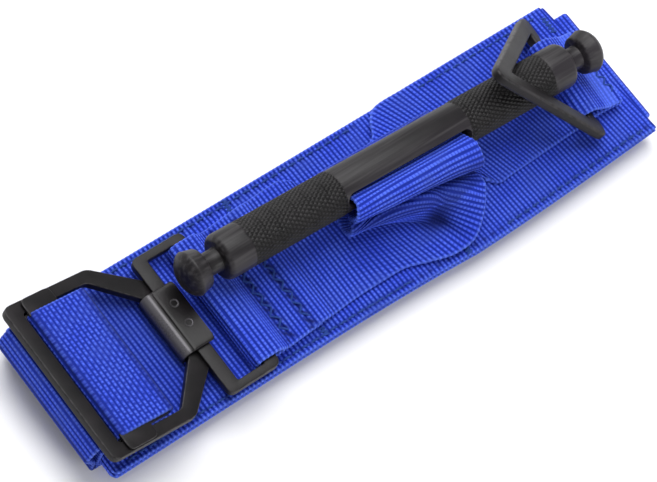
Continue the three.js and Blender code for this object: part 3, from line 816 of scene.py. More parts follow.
def turn_path():
    """The long strap's turn over the slider, in the buckle frame's own drawing."""
    gap = SLIDER_GAP - 0.1
    over = SLIDER_THICK / 2 + gap + WEB / 2
    right = SLIDER_TO + gap + WEB / 2
    left = SLIDER_FROM - gap - WEB / 2
    low = -FRAME_THICK / 2 - gap - 0.25 - WEB / 2
    return rounded_path([
        (-35.8, -5.3), (-34.2, -4.2, 1.0), (-30.5, -4.0, 1.5), (-27, -over, 1.5), (right, -over, 0.9),
        (right, over, 0.9), (left, over, 0.9), (left, low, 0.9), (-36.4, low),
    ])


def riser_shade(skin):
    """Painted shade on the left fold of the long strap, more towards the bottom."""
    x, z = skin[..., 0], skin[..., 2]
    return 0.5 * ramp(-93.5 - x, 1.2) * ramp(17 - z, 9)


def turn_shade(skin):
    """Painted shade that dulls the turn a little, and more round its right fold."""
    return 0.1 + 0.25 * ramp(skin[..., 0] - on_frame(SLIDER_TO - 1.5, 0)[0], 2)


def build_long_strap(settings, finish):
    """The standing run, the turn over the slider and the folded tail."""
    standing_lines = level_lines(rounded_path([
        (86, RUN_A_Z), (RISER_X, RUN_A_Z, 1.2), (RISER_X, 11.8), (RISER_X - 0.2, 13.6),
    ]), STRAP_WIDTH, LONG_STRAP_Y)
    standing = woven("long_strap_standing_run", standing_lines, settings, columns=14, uneven=0.03,
                     seed=5, painted_shade_of=riser_shade)
    turn_low = on_frame(-36.3, -FRAME_THICK / 2 - SLIDER_GAP - 0.15 - WEB / 2)
    tail_lines = level_lines(rounded_path([
        (turn_low[0], turn_low[1] + 0.06), (-97.2, 16.6, 1.2), (-99.3, 12.4, 1.5), (-95.9, 7.0, 2.2),
        (-95.9, RUN_B_Z, 1.4), (TAIL_FOLD_X, RUN_B_Z, 0.74), (TAIL_FOLD_X, RUN_C_Z, 0.74),
        (-58, RUN_C_Z),
    ]), STRAP_WIDTH, LONG_STRAP_Y)
    tail = woven("long_strap_folded_tail", tail_lines, settings, columns=20, uneven=0.0, seed=6,
                 painted_shade_of=riser_shade)
    path = np.array([on_frame(x, z) for x, z in turn_path()])
    turn = woven("long_strap_slider_turn", level_lines(path, TURN_WIDTH, 0), settings, columns=34,
                 uneven=0.05, seed=7, relief=turn_relief, painted_shade_of=turn_shade, coarse=1.0)
    for piece, node in ((standing, "long_strap_standing"), (tail, "long_strap_tail"),
                        (turn, "long_strap_turn")):
        piece.data.materials.append(finish)
        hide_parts(node)
    for piece in (standing, tail):
        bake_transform(piece)
    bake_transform(turn)


def turn_relief(along, aside, skin):
    """The turn's soft waves, kept off the slider and the frame."""
    on_top = ramp(skin[..., 2] - (NOSE[2] + 2.0), 4)
    return 0.05 * on_top * np.sin(aside / 4.1 + along / 9.0)


# ---- tension strap -------------------------------------------------------------------------
LOOP_FOLD_X = -46.9
LOOP_TOP_Z = RING_Z + RING_THICK + 0.3 + WEB / 2
FAN_STEPS = 14                   # cross lines filled in for each one given

# The cross lines of the twisted stretch, each as five points from its upper to its lower edge. The strap
# lies flat, turns towards the rod, folds over a groove and goes up into the slot.
FAN_IN = [
    line(-9, 19.3, ON_BASE_Z, -9, -18.7, ON_BASE_Z),
    [(-5.5, 17.0, 8.2), (-4.0, 8.8, 8.2), (-3.2, 0.0, 8.2), (-2.8, -9.3, 8.2), (-2.5, -18.8, 8.2)],
    [(-3.5, 12.5, 8.4), (-1.0, 5.5, 9.3), (1.0, -2.5, 8.4), (3.2, -10.5, 8.3), (5.0, -19.1, 8.3)],
    [(-2.6, 8.0, 8.8), (0.5, 2.5, 10.0), (4.5, -4.2, 8.6), (8.5, -12.0, 8.3), (12.0, -21.4, 8.7)],
    [(-2.5, 4.0, 9.0), (2.0, 0.4, 10.2), (8.0, -5.6, 8.8), (14.0, -13.0, 8.5), (19.0, -23.2, 8.9)],
    [(-3.0, 1.2, 9.4), (3.8, -1.8, 10.4), (12.0, -7.4, 8.9), (19.0, -13.4, 8.3), (26.0, -22.8, 9.6)],
    [(-4.2, -2.4, 10.4), (5.0, -5.0, 11.4), (14.9, -9.2, 9.2), (21.8, -12.6, 8.3), (31.2, -19.0, 12.2)],
    [(-5.2, -5.0, 13.6), (5.6, -7.4, 15.6), (15.4, -9.8, 14.6), (22.6, -11.8, 13.2), (33.3, -15.6, 15.8)],
    [(-5.2, -4.8, 17.2), (6.2, -6.8, 19.0), (16.8, -8.6, 19.8), (25.6, -11.0, 18.6), (34.1, -13.0, 18.7)],
    [(-3.4, -0.8, 16.8), (7.4, -1.9, 15.8), (18.4, -3.4, 16.0), (26.6, -6.4, 17.2), (33.2, -8.8, 19.2)],
    [(-5.4, -4.0, 20.4), (6.8, -5.6, 20.6), (18.2, -7.1, 21.4), (27.0, -8.4, 22.0), (34.9, -9.8, 22.7)],
    [(-5.7, -4.9, 23.4), (5.4, -6.2, 24.4), (15.8, -6.6, 25.2), (25.4, -6.9, 25.7), (34.8, -7.2, 25.8)],
    [(-5.0, -3.3, 26.0), (5.5, -4.0, 26.9), (15.3, -4.1, 27.3), (24.9, -4.4, 27.3), (34.6, -4.6, 27.0)],
    line(-4.3, -1.5, 26.0, 34.4, -2.7, 25.8),
]
FAN_OUT = [
    line(-4.2, 10.1, 18.9, 34.3, 9.1, 18.9),
    line(-3.4, 12.0, 17.1, 35.0, 11.2, 17.0),
    line(-1.5, 12.8, 14.6, 36.6, 11.8, 14.4),
    line(5, 13.2, 11.9, 37.6, 9.0, 11.4),
    line(13.5, 13.8, 10.3, 38.6, 3.0, 9.8),
    line(20.5, 15.4, 9.7, 39.5, -4.5, 9.0),
    line(23.3, 19.6, 9.2, 41.0, -10.6, 8.6),
    line(27.0, 22.6, 8.6, 43.2, -13.2, ON_BASE_Z),
    line(38.0, 23.2, ON_BASE_Z, 48.0, -13.1, ON_BASE_Z),
]
TENSION_END = line(88.5, 23.2, ON_BASE_Z, 89.5, -11.7, ON_BASE_Z)


def loop_lines():
    """The loop sewn round the rectangular ring."""
    path = rounded_path([
        (-24, ON_BASE_Z), (LOOP_FOLD_X, ON_BASE_Z, 1.6), (LOOP_FOLD_X, LOOP_TOP_Z, 1.6),
        (-40.5, LOOP_TOP_Z, 1.5), (-36.5, SEWN_Z, 1.5), (-23.5, SEWN_Z, 1), (-19.5, ON_BASE_Z, 1),
        (-14, ON_BASE_Z),
    ])
    lines = level_lines(path, STRAP_WIDTH, RING_Y)
    share = ramp(path[:, 0] + 40, 32)
    lines[..., 1] += (2 * share * share * (3 - 2 * share))[:, None]
    return lines


def tension_relief(along, aside, skin):
    """Sewn channels by the ring, and the gathers of the stretch that is pulled into the slot."""
    x, y, z = skin[..., 0], skin[..., 1], skin[..., 2]
    sewn = seam_relief((42, 86, 20.9, 0.25))(along, aside, skin)
    for seam in RING_SEAMS:
        near = ridge(x - seam, 0.9)
        sewn -= 0.42 * near * (z > SEWN_Z - 0.5) * (0.75 + 0.25 * np.cos(2 * np.pi * y / 2.4))
    return sewn


def seam_shade(skin):
    """Painted shade in the sewn channels by the ring round their thread, in the hollow of the twisted
    stretch and on the lower part of its upper roll.
    """
    x, y, z = skin[..., 0], skin[..., 1], skin[..., 2]
    total = np.zeros(x.shape)
    for seam in RING_SEAMS:
        across = ridge(x - seam, 1.35)
        total += across * np.clip(0.8 + 1.3 * np.sin(2 * np.pi * (y + 0.8 * (x - seam)) / 2.6), 0.25, 1.4)
    total *= (z > SEWN_Z - 0.5) * (np.abs(y + 1.7) < 18.0)
    low = ridge(x - 20.4, 4.6) * ridge(y + 12.6, 3.2) * (z < 15)
    belly = ramp(23.4 + 0.06 * (x + 5) - z, 2.2) * (z > 15.5) * (y > -12.5) * (x < 36)
    return total + low + 0.5 * belly


def build_tension_strap(settings, finish):
    """The strap that the rod twists, from its loop on the ring to the right end of the base."""
    fan = smooth_lines(FAN_IN + FAN_OUT, FAN_STEPS)
    mouth = FAN_STEPS * (len(FAN_IN) - 1)
    parts = [loop_lines(), equal_columns(fan[:mouth]), equal_columns(fan[mouth:]), [TENSION_END]]
    fine, _ = even_lines(np.concatenate(parts), 0.25)
    strap = woven("tension_strap_webbing", softened(fine, 4), settings, columns=40, uneven=0.03,
                  seed=11, relief=tension_relief, painted_shade_of=seam_shade)
    strap.data.materials.append(finish)
    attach(strap, "strap_and_base")
    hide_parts("tension_strap")


# ---- windlass ------------------------------------------------------------------------------
# The rod's profile as distances along it and changes of radius. The collar and the start of the neck are
# measured from the end of the grip, and the rest from the end of the rod.
COLLAR = ((-0.5, -0.15), (-0.2, -0.03), (0, 0), (6.0, 0), (6.5, -0.12), (7.1, -0.5), (7.4, -0.95),
          (7.5, -1.4))
NECK_START = ((7.52, 0.35), (7.6, 0.12), (7.9, 0))
NECK_END = ((-7.3, 0), (-7.05, 0.1), (-6.9, 0.4))
KNOB = ((-6.7, -1.5), (-6.5, -1.0), (-6.2, -0.75), (-3.4, -0.1), (-3.15, 0), (-2.85, -0.08), (-2.3, -0.4),
        (-1.7, -0.9), (-1.2, -1.5), (-0.75, -2.2), (-0.4, -3.1), (-0.12, -4.4))
# How much wider the slot is, by distance from its middle.
SLOT_FLARE = {4.6: 0, 5.2: 0.1, 6.0: 0.45, 9.0: 1.6}


def rod_rows():
    """Stations along the right half of the rod: distance from the middle, radius, knurled or not."""
    rows = [(0.0, ROD_SMOOTH_R, 0), (GRIP_FROM - 0.5, ROD_SMOOTH_R, 0)]
    rows.append((GRIP_FROM - 0.15, ROD_SMOOTH_R - 0.12, 0))
    rows += [(x, ROD_R, 1) for x in np.arange(GRIP_FROM + 0.1, GRIP_TO - 0.6, 0.27)]
    for start, radius, profile in ((GRIP_TO, ROD_R, COLLAR), (GRIP_TO, NECK_R, NECK_START),
                                   (ROD_HALF, NECK_R, NECK_END), (ROD_HALF, KNOB_R, KNOB)):
        rows += [(start + x, radius + r, 0) for x, r in profile]
    return rows + [(ROD_HALF, 0.3, 0)]


def knurl(x, turn, starts):
    """Height of the diamonds, 1 on their crests and 0 in the grooves."""
    pitch = 2 * math.pi * ROD_R / starts / math.tan(math.radians(32))
    heights = [1 - np.abs(2 * ((turn * starts + way * x / pitch) % 1.0) - 1) for way in (1, -1)]
    return np.clip(1.7 * np.minimum(*heights), 0, 1)


def rod_mesh(settings):
    """The turned and knurled rod, before its slot is cut."""
    columns = settings.knurl_starts * 7
    right = rod_rows()
    rows = [(-x, r, k) for x, r, k in right[:0:-1]] + right
    x = np.array([row[0] for row in rows])[:, None]
    radius = np.array([row[1] for row in rows])[:, None]
    knurled = np.array([row[2] for row in rows], float)[:, None]
    turn = np.arange(columns)[None] / columns
    height = np.where(knurled > 0, knurl(x, turn, settings.knurl_starts), 1.0)
    r = radius - knurled * settings.knurl_depth / MM * (1 - height)
    angle = -2 * math.pi * turn
    rings = turned_to(three(x, r * np.cos(angle), r * np.sin(angle)), ROD_YAW, 0, ROD_CENTRE)
    turning = three(x, height, knurled)
    knob_rim = ridge(np.abs(x) - ROD_HALF + 3.15, 0.35)
    collar_rim = ridge(np.abs(x) - GRIP_TO - 6.4, 0.4)
    marks = three(knob_rim + 0.6 * collar_rim, 0 * r, 0)
    return loft("windlass_rod_turned", rings, {"turning": turning, "wear_and_painted_light": marks})


def slot_cutter():
    """The slot's shape, flared a little at both mouths."""
    run = (SLOT_LENGTH - SLOT_HEIGHT) / 2
    turn = np.radians(np.arange(0, 360, 10) + 5)
    outline = np.stack([np.sign(np.cos(turn)) * run + SLOT_HEIGHT / 2 * np.cos(turn),
                        SLOT_HEIGHT / 2 * np.sin(turn)], 1)
    rings = []
    for depth in (-9.0, -6.0, -5.2, -4.6, 4.6, 5.2, 6.0, 9.0):
        grown = outline * (1 + SLOT_FLARE[abs(depth)] / np.array([SLOT_LENGTH / 2, SLOT_HEIGHT / 2]))
        c, s = math.cos(SLOT_TILT), math.sin(SLOT_TILT)
        up, away = grown[:, 1], np.full(len(grown), depth)
        rings.append(np.stack([grown[:, 0], away * c + up * s, up * c - away * s], 1))
    solid = loft("slot_cutter", turned_to(np.array(rings), ROD_YAW, 0, ROD_CENTRE), {})
    return put_in_scene("slot_cutter", outward(solid))


def build_windlass(settings, finish):
    """Cuts the strap's slot through the rod and puts the rod on its body."""
    rod = put_in_scene("windlass_rod_knurled", outward(rod_mesh(settings)))
    cutter = slot_cutter()
    cut = rod.modifiers.new("slot", "BOOLEAN")
    cut.operation = "DIFFERENCE"
    cut.solver = "EXACT"
    cut.object = cutter
    bpy.context.view_layer.update()
    made = bpy.data.meshes.new_from_object(rod.evaluated_get(bpy.context.evaluated_depsgraph_get()))
    if len(made.polygons) <= len(rod.data.polygons) // 2:
        raise RuntimeError("the slot was not cut")
    rod.modifiers.clear()
    rod.data = made
    bpy.data.objects.remove(cutter)
    shade_smoothly(made)
    made.materials.clear()
    made.materials.append(finish)
    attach(rod, "windlass")
    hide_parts("windlass_rod")


# ---- flat metal ----------------------------------------------------------------------------
def rounded_loop(corners, steps=9, runs=10):
    """A closed outline with each corner (x, y, reach) rounded off and its sides divided evenly."""
    count = len(corners)
    bends = []
    for i, (x, y, reach) in enumerate(corners):
        here = np.array([x, y], float)
        start = np.array(corners[i - 1][:2], float) - here
        stop = np.array(corners[(i + 1) % count][:2], float) - here
        start = here + start / np.linalg.norm(start) * reach
        stop = here + stop / np.linalg.norm(stop) * reach
        t = np.linspace(0, 1, steps + 1)[:, None]
        bends.append(corner_curve(start, here, stop, t))
    loop = []
    for i, bend in enumerate(bends):
        following = bends[(i + 1) % count][0]
        t = np.arange(1, runs)[:, None] / runs
        loop += [bend, bend[-1] + (following - bend[-1]) * t]
    return np.concatenate(loop)


def bar_section(width, thick, bevel):
    """Points round a bar's rounded section, from 0 to width, and 1 where its edges are rounded."""
    turns = np.radians(np.linspace(0, 90, EDGE_STEPS + 1))
    centres = ((bevel, -thick / 2 + bevel, 180), (width - bevel, -thick / 2 + bevel, 270),
               (width - bevel, thick / 2 - bevel, 0), (bevel, thick / 2 - bevel, 90))
    points, rounded = [], []
    for a, b, start in centres:
        for k, turn in enumerate(turns + math.radians(start)):
            points.append((a + bevel * math.cos(turn), b + bevel * math.sin(turn)))
            rounded.append(math.sin(math.pi * k / EDGE_STEPS) ** 0.5)
    return np.array(points), np.array(rounded)


def bar_frame(name, outer, inner, thick, bevel, place, uneven, seed):
    """A flat frame between two outlines of as many points, with rounded edges."""
    way = inner - outer
    width = np.linalg.norm(way, axis=1)
    rows, edges = [], None
    for start, step, across in zip(outer, way, width):
        section, edges = bar_section(across, thick, bevel)
        flat = start + step / across * section[:, :1]
        rows.append(np.concatenate([flat, section[:, 1:]], 1))
    rows = np.array(rows)
    gone = np.arange(len(rows))[:, None] * 0.9
    rows[..., 2] += ripple(gone, rows[..., 1] * 0.5, seed, uneven)
    marks = three(edges, 0 * rows[..., 0], 0)
    return outward(loft(name, turned_to(rows, *place), {"wear_and_painted_light": marks}, ends=False))


def inset(loop, distance):
    """An anticlockwise outline moved inwards by a distance."""
    ahead = np.roll(loop, -1, 0) - np.roll(loop, 1, 0)
    ahead /= np.linalg.norm(ahead, axis=1, keepdims=True)
    return loop + distance * np.stack([-ahead[:, 1], ahead[:, 0]], 1)


def slab(name, loop, thick, z, bevel):
    """A flat plate with rounded edges from one anticlockwise outline, lying on the buckle frame."""
    turns = np.radians(np.linspace(0, 90, EDGE_STEPS + 1))
    rings, edge = [], []
    for side in (-1, 1):
        for turn in turns[::side]:
            ring = inset(loop, bevel * (1 - math.cos(turn)))
            height = z + side * (thick / 2 - bevel + bevel * math.sin(turn))
            rings.append(np.column_stack([ring, np.full(len(ring), height)]))
            edge.append(math.sin(2 * turn))
    rings = np.array(rings)
    marks = np.zeros(rings.shape)
    marks[..., 0] = np.array(edge)[:, None]
    return outward(loft(name, turned_to(rings, *FRAME_PLACE), {"wear_and_painted_light": marks}))


def upper_and_mirror(points):
    """The mirror image in Y of an upper half outline, then that half backwards, anticlockwise."""
    return [(x, -y, r) for x, y, r in points] + points[::-1]


def triangle(offset, radius):
    """Corners of the retaining ring's triangle, pointing along -x, moved outwards by an offset."""
    lean = math.atan2(TRI_HALF, TRI_REACH)
    reach = TRI_REACH + offset / math.sin(lean)
    half = (reach + offset) * math.tan(lean)
    bend = radius / math.tan(math.pi / 4 - lean / 2)
    return [(offset, half, bend), (-reach, 0, radius / math.tan(lean)), (offset, -half, bend)]


def build_retaining_ring(finish):
    """The triangular ring that holds the rod's end, its bar narrower inside the keeper."""
    outer = rounded_loop(triangle(TRI_BAR / 2, TRI_CORNER), 12, 14) + TRI_SHIFT
    inner = rounded_loop(triangle(-TRI_BAR / 2, 0.5), 12, 14) + TRI_SHIFT
    past_keeper = ramp(np.abs(outer[:, 1] - KEEPER_Y) - KEEPER_WIDTH / 2 - 0.6, 2.5)
    outer[:, 0] = np.minimum(outer[:, 0], TRI_WAIST + TRI_BAR * past_keeper)
    mesh = bar_frame("retaining_ring_bar", outer, inner, TRI_THICK, 0.7, TRI_PLACE, uneven=0.06, seed=8)
    ring = put_in_scene("retaining_ring_bar", mesh)
    ring.data.materials.append(finish)
    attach(ring, "retaining_ring")
    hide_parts("tri_ring")


def build_keeper(settings, finish):
    """The narrow loop of webbing round the retaining ring's bar."""
    low = BASE_TOP + 0.1 + WEB + 0.1 + KEEPER_WEB / 2 - TRI_HINGE[2]
    r = KEEPER_RADIUS
    path = rounded_path([
        (13.2, low), (-r, low, r - 0.1), (-r, r, r - 0.1), (1.8, r, 2.2),
        (8.4, low + KEEPER_WEB + 0.15, 2), (13.2, low + KEEPER_WEB + 0.15),
    ])
    local = level_lines(path, KEEPER_WIDTH, KEEPER_Y)
    melt_from = np.linalg.norm(np.diff(path, axis=0), axis=1).sum() - 7.6

    def melt(along):
        return ramp(along - melt_from, 1.2) * ramp(melt_from + 6.4 - along, 0.8)

    keeper = woven("keeper_loop_webbing", turned_to(local, TRI_YAW, 0, TRI_HINGE), settings,
                   columns=24, uneven=0.05, seed=13, thickness=KEEPER_WEB, melt=melt)
    keeper.data.materials.append(finish)
    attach(keeper, "strap_and_base")
    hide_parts("keeper_loop")


def build_rectangular_ring(finish):
    """The flat ring that the tension strap is sewn on."""
    top, low = RING_Y + RING_HALF_WIDTH, RING_Y - RING_HALF_WIDTH
    outer = [(RING_LEFT, top, 2.2), (RING_LEFT, low, 2.2), (RING_RIGHT, low, 2.2), (RING_RIGHT, top, 2.2)]
    left, right = RING_LEFT + RING_BAR, RING_RIGHT - RING_BAR
    high, deep = top - RING_SIDE_BAR, low + RING_SIDE_BAR
    inner = [(left, high, 0.6), (left, deep, 0.6), (right, deep, 0.6), (right, high, 0.6)]
    place = (0, 0, (0, 0, RING_Z + RING_THICK / 2))
    mesh = bar_frame("rectangular_ring_flat", rounded_loop(outer), rounded_loop(inner), RING_THICK, 0.3,
                     place, uneven=0.04, seed=4)
    ring = put_in_scene("rectangular_ring_flat", mesh)
    ring.data.materials.append(finish)
    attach(ring, "hooked_ring")
    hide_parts("rectangular_ring")


def hook_path():
    """Middle of the hook's sheet: flat over the ring, round the nose bar and back below it."""
    x, _, z = NOSE
    r = 2.9 - HOOK_SHEET / 2
    squeeze = 0.5
    turns = np.radians(np.arange(90, 183, 6))
    bend = [(x + (r - squeeze) * math.cos(turn), z + r * math.sin(turn)) for turn in turns]
    r -= squeeze
    top = HOOK_TOP - HOOK_SHEET / 2
    flat = [(px, top) for px in (-52.4, -54, -56, -58)]
    return np.array(flat + bend + [(x - r, z - 1.2), (x - r + 0.3, z - 1.9), (x - r + 1.0, z - 2.22)])


def build_hook(finish):
    """The bent plate that hooks over the buckle frame, worn bright along its bend, with a painted highlight
    there too.
    """
    lines, along = even_lines(level_lines(hook_path(), 2 * HOOK_HALF_WIDTH, HOOK_Y), 0.2)
    near = np.clip(1 - along / 0.9, 0, 1)
    nip = 0.9 * (1 - np.sqrt(1 - near ** 2))
    lines[..., 1] = HOOK_Y + (lines[..., 1] - HOOK_Y) * (1 - nip / HOOK_HALF_WIDTH)[:, None]
    across, height = strap_section(24, HOOK_HALF_WIDTH, HOOK_SHEET / 2)
    skin = across_lines(lines, across)
    facing = np.cross(np.gradient(skin, axis=0), (0, 1.0, 0))
    facing /= -np.linalg.norm(facing, axis=2, keepdims=True)
    rings = skin + facing * (height * HOOK_SHEET / 2)[None, :, None]
    groove = ridge(along - 6.5, 0.25)[:, None] * (height > 0.99)[None]
    rings -= 0.12 * facing * groove[..., None]
    # Wear and a painted highlight on the outside of the bend.
    bend = ramp(along - 7.3, 0.35) * ramp(11.0 - along, 1.2)
    edge = (1 - np.sqrt(np.abs(height))) * 0.8
    marks = three(edge, bend[:, None] * (height > 0.5), 0)
    mesh = outward(loft("hook_plate_bent", rings, {"wear_and_painted_light": marks}))
    hook = put_in_scene("hook_plate_bent", mesh)
    hook.data.materials.append(finish)
    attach(hook, "hooked_ring")
    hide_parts("hook_plate")


def build_rivets(finish):
    """Two small round fixings, each with a raised rim round a dimple and a painted highlight on one side of
    the rim.
    """
    base = RING_Z + 0.1 - HOOK_TOP
    profile = [(0.05, base, 0), (0.8, base, 0), (0.8, -0.1, 0), (1.2, 0, 0.3), (1.2, 0.06, 0.7),
               (1.12, 0.13, 1.0), (1.0, 0.16, 1.0), (0.85, 0.1, 1.0), (0.65, -0.1, 0.5), (0.4, -0.22, 0.1),
               (0.05, -0.26, 0)]
    turn = np.linspace(0, 2 * math.pi, 33)[:-1]
    # A painted highlight: the rims are brightest on one side, as if lit from there.
    lit = 0.15 + 0.85 * (0.5 + 0.5 * np.cos(turn - math.radians(330)))
    for place, y in RIVETS.items():
        rings, wear_and_painted_highlight = [], []
        for r, z, on_rim in profile:
            height = np.full(len(turn), HOOK_TOP + z)
            rings.append(np.column_stack([RIVET_X + r * np.cos(turn), y + r * np.sin(turn), height]))
            wear_and_painted_highlight.append(on_rim * lit)
        rings = np.array(rings)
        marks = three(wear_and_painted_highlight, wear_and_painted_highlight, 0)
        name = f"hook_rivet_{place}_head"
        rivet = put_in_scene(name, outward(loft(name, rings, {"wear_and_painted_light": marks})))
        rivet.data.materials.append(finish)
        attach(rivet, "hooked_ring")
        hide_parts(f"hook_rivet_{place}")


def build_buckle_frame(finish):
    """The D-shaped frame whose nose the hook holds."""
    outer = upper_and_mirror([
        (-FRAME_LENGTH, FRAME_HALF_WIDTH, 2.6), (FRAME_SHOULDER + 0.3, FRAME_HALF_WIDTH - 0.2, 1.6),
        (NOSE_HALF + 0.8, NOSE_OUTER_Y + 0.7, 0.9),
    ])
    inner = upper_and_mirror([
        (-FRAME_LENGTH + FRAME_END_BAR, FRAME_HALF_WIDTH - FRAME_RAIL, 0.8),
        (FRAME_SHOULDER - 2.2, FRAME_HALF_WIDTH - FRAME_RAIL - 0.1, 1.2),
        (-NOSE_HALF, NOSE_INNER_Y - 0.6, 0.5),
    ])
    mesh = bar_frame("buckle_frame_flat", rounded_loop(outer), rounded_loop(inner), FRAME_THICK, 0.3,
                     FRAME_PLACE, uneven=0.03, seed=9)
    made = put_in_scene("buckle_frame_flat", mesh)
    made.data.materials.append(finish)
    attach(made, "buckle_frame")
    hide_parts("d_frame")


def build_slider(finish):
    """The bar inside the strap's turn, with forked ends that lap the rails."""
    rail = FRAME_HALF_WIDTH - FRAME_RAIL
    core_y = TURN_WIDTH / 2
    tab_y = FRAME_HALF_WIDTH - 0.3
    reach = FRAME_THICK / 2 + 0.12 + TAB_THICK
    core = rounded_loop([(SLIDER_FROM, core_y, 0.3), (SLIDER_FROM, -core_y, 0.3), (SLIDER_TO, -core_y, 0.3),
                         (SLIDER_TO, core_y, 0.3)], 4, 4)
    meshes = [slab("slider_core", core, SLIDER_THICK, 0, 0.3)]
    post_out = rail - SLIDER_GAP
    for side in (1, -1):
        tab = [(TAB_FROM, side * (core_y - 0.9), 0.3), (TAB_FROM, side * tab_y, 1.8),
               (TAB_TO, side * tab_y, 1.8), (TAB_TO, side * (core_y - 0.9), 0.3)]
        post = [(TAB_FROM + 0.2, side * (core_y - 0.5), 0.2), (TAB_FROM + 0.2, side * post_out, 0.2),
                (TAB_TO - 0.2, side * post_out, 0.2), (TAB_TO - 0.2, side * (core_y - 0.5), 0.2)]
        if side > 0:
            tab, post = tab[::-1], post[::-1]
        for face in (1, -1):
            middle = face * (reach - TAB_THICK / 2)
            meshes.append(slab("slider_tab", rounded_loop(tab, 6, 4), TAB_THICK, middle, 0.25))
        meshes.append(slab("slider_post", rounded_loop(post, 3, 3), 2 * reach - 0.5, 0, 0.15))
    slider = put_in_scene("slider_forked_bar", joined("slider_forked_bar", meshes))
    slider.data.materials.append(finish)
    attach(slider, "slider")
    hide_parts("slider_bar")


# ---- sewing --------------------------------------------------------------------------------
def thread_bead(start, stop):
    """One stitch: a short bowed bead that dives into the cloth at both ends."""
    start, stop = np.array(start, float), np.array(stop, float)
    share = np.linspace(0, 1, 8)
    bow = np.sin(np.pi * share)
    spine = start + (stop - start) * share[:, None]
    spine[:, 2] += STITCH_RISE * bow - 0.22
    ahead = (stop - start) / np.linalg.norm(stop - start)
    side = np.array([-ahead[1], ahead[0], 0])
    up = np.cross(ahead, side)
    size = (THREAD_R * (0.7 + 0.3 * bow))[:, None, None]
    turn = np.linspace(0, 2 * math.pi, 9)[:-1]
    rings = spine[:, None] + size * (np.cos(turn)[:, None] * side + np.sin(turn)[:, None] * up)
    gone = np.linalg.norm(stop - start) * share[:, None]
    return loft("stitch", rings, {"weave": three(gone, turn, 0)})


def seam_line(start, stop):
    """A seam's first point, the directions along and across it, and its length."""
    first, last = np.array(start, float), np.array(stop, float)
    total = np.linalg.norm(last - first)
    way = (last - first) / total
    return first, way, np.array([-way[1], way[0]]), total


def straight_stitches(start, stop, z, seed, follow=None):
    """Stitches end to end along a line, a little uneven as sewing is."""
    draw = np.random.RandomState(seed)
    first, way, side, total = seam_line(start, stop)
    ends = []
    for gone in np.arange(0, total - STITCH, STITCH + STITCH_GAP):
        slips = draw.uniform(-0.14, 0.14, 2)
        points = [first + way * (gone + far) + side * slip for far, slip in zip((0, STITCH), slips)]
        if follow is not None:
            points = [np.array([p[0], follow(p[0]) + p[1] - first[1]]) for p in points]
        ends.append([(*p, z) for p in points])
    return ends


def zigzag_stitches(start, stop, z, swing, step, seed):
    """Stitches that swing from side to side along a line."""
    draw = np.random.RandomState(seed)
    first, way, side, total = seam_line(start, stop)
    stations = np.arange(0, total, step)
    sides = swing * np.where(np.arange(len(stations)) % 2, 1, -1) + draw.uniform(-0.1, 0.1, len(stations))
    points = [first + way * gone + side * out for gone, out in zip(stations, sides)]
    return [[(*p, z), (*q, z)] for p, q in zip(points, points[1:])]


def stitching():
    """Every row of stitches: its CAD node and the ends of each stitch."""
    strap_top = ON_BASE_Z + WEB / 2
    loop_top = SEWN_Z + WEB / 2
    keeper_top = BASE_TOP + 0.2 + WEB + 2 * KEEPER_WEB + 0.15
    first_y = lower_seam(EDGE_SEAM_FROM)

    def lower_row(start, stop, seed):
        return straight_stitches((start, first_y), (stop, first_y), BASE_TOP, seed, follow=lower_seam)

    def ring_row(x, upper, lower, seed):
        return zigzag_stitches((x, upper), (x, lower), loop_top - 0.1, 0.95, 1.9, seed)

    def tack(x, start, stop, seed):
        return zigzag_stitches((x, start), (x, stop), BASE_TOP + 0.05, 1.0, 0.5, seed)

    return {
        "edge_stitch_lower_left": lower_row(EDGE_SEAM_FROM, 5, 21),
        "edge_stitch_lower_right": lower_row(38, 91, 22),
        "edge_stitch_upper": straight_stitches((-62, 21.2), (20, 21.2), BASE_TOP, 23),
        "strap_stitch_upper": straight_stitches((42, 20.9), (86, 20.9), strap_top, 24),
        "ring_stitch_outer": ring_row(RING_SEAMS[0], 15.5, -18.5, 25),
        "ring_stitch_inner": ring_row(RING_SEAMS[1], 15.8, -18.2, 26),
        "bar_tack_upper_left": tack(-24.5, 22.4, 18.6, 27),
        "bar_tack_lower_left": tack(-24.5, -22.6, -19.6, 28),
        "bar_tack_lower_right": tack(23.5, -22.8, -25.0, 29),
        "bar_tack_end": zigzag_stitches((87.0, 19.8), (87.0, 14.4), strap_top, 1.0, 0.6, 30),
        "keeper_stitch": zigzag_stitches((86.6, 8.8), (87.9, -9.8), keeper_top, 0.9, 1.5, 31),
    }


def build_stitching(finish):
    """All the sewing threads."""
    for node, stitches in stitching().items():
        meshes = [thread_bead(start, stop) for start, stop in stitches]
        piece = put_in_scene(f"{node}_thread", joined(f"{node}_thread", meshes))
        piece.data.materials.append(finish)
        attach(piece, "strap_and_base")
        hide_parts(node)


# ---- stage ---------------------------------------------------------------------------------
def soft_light(name, place, size, power):
    """A large square light that faces the middle of the tourniquet."""
    data = bpy.data.lights.new(name, "AREA")
    data.shape = "SQUARE"
    data.size = size
    data.energy = power
    lamp = bpy.data.objects.new(name, data)
    lamp.location = place
    lamp.rotation_euler = Vector(place).to_track_quat("Z", "Y").to_euler()
    bpy.context.scene.collection.objects.link(lamp)


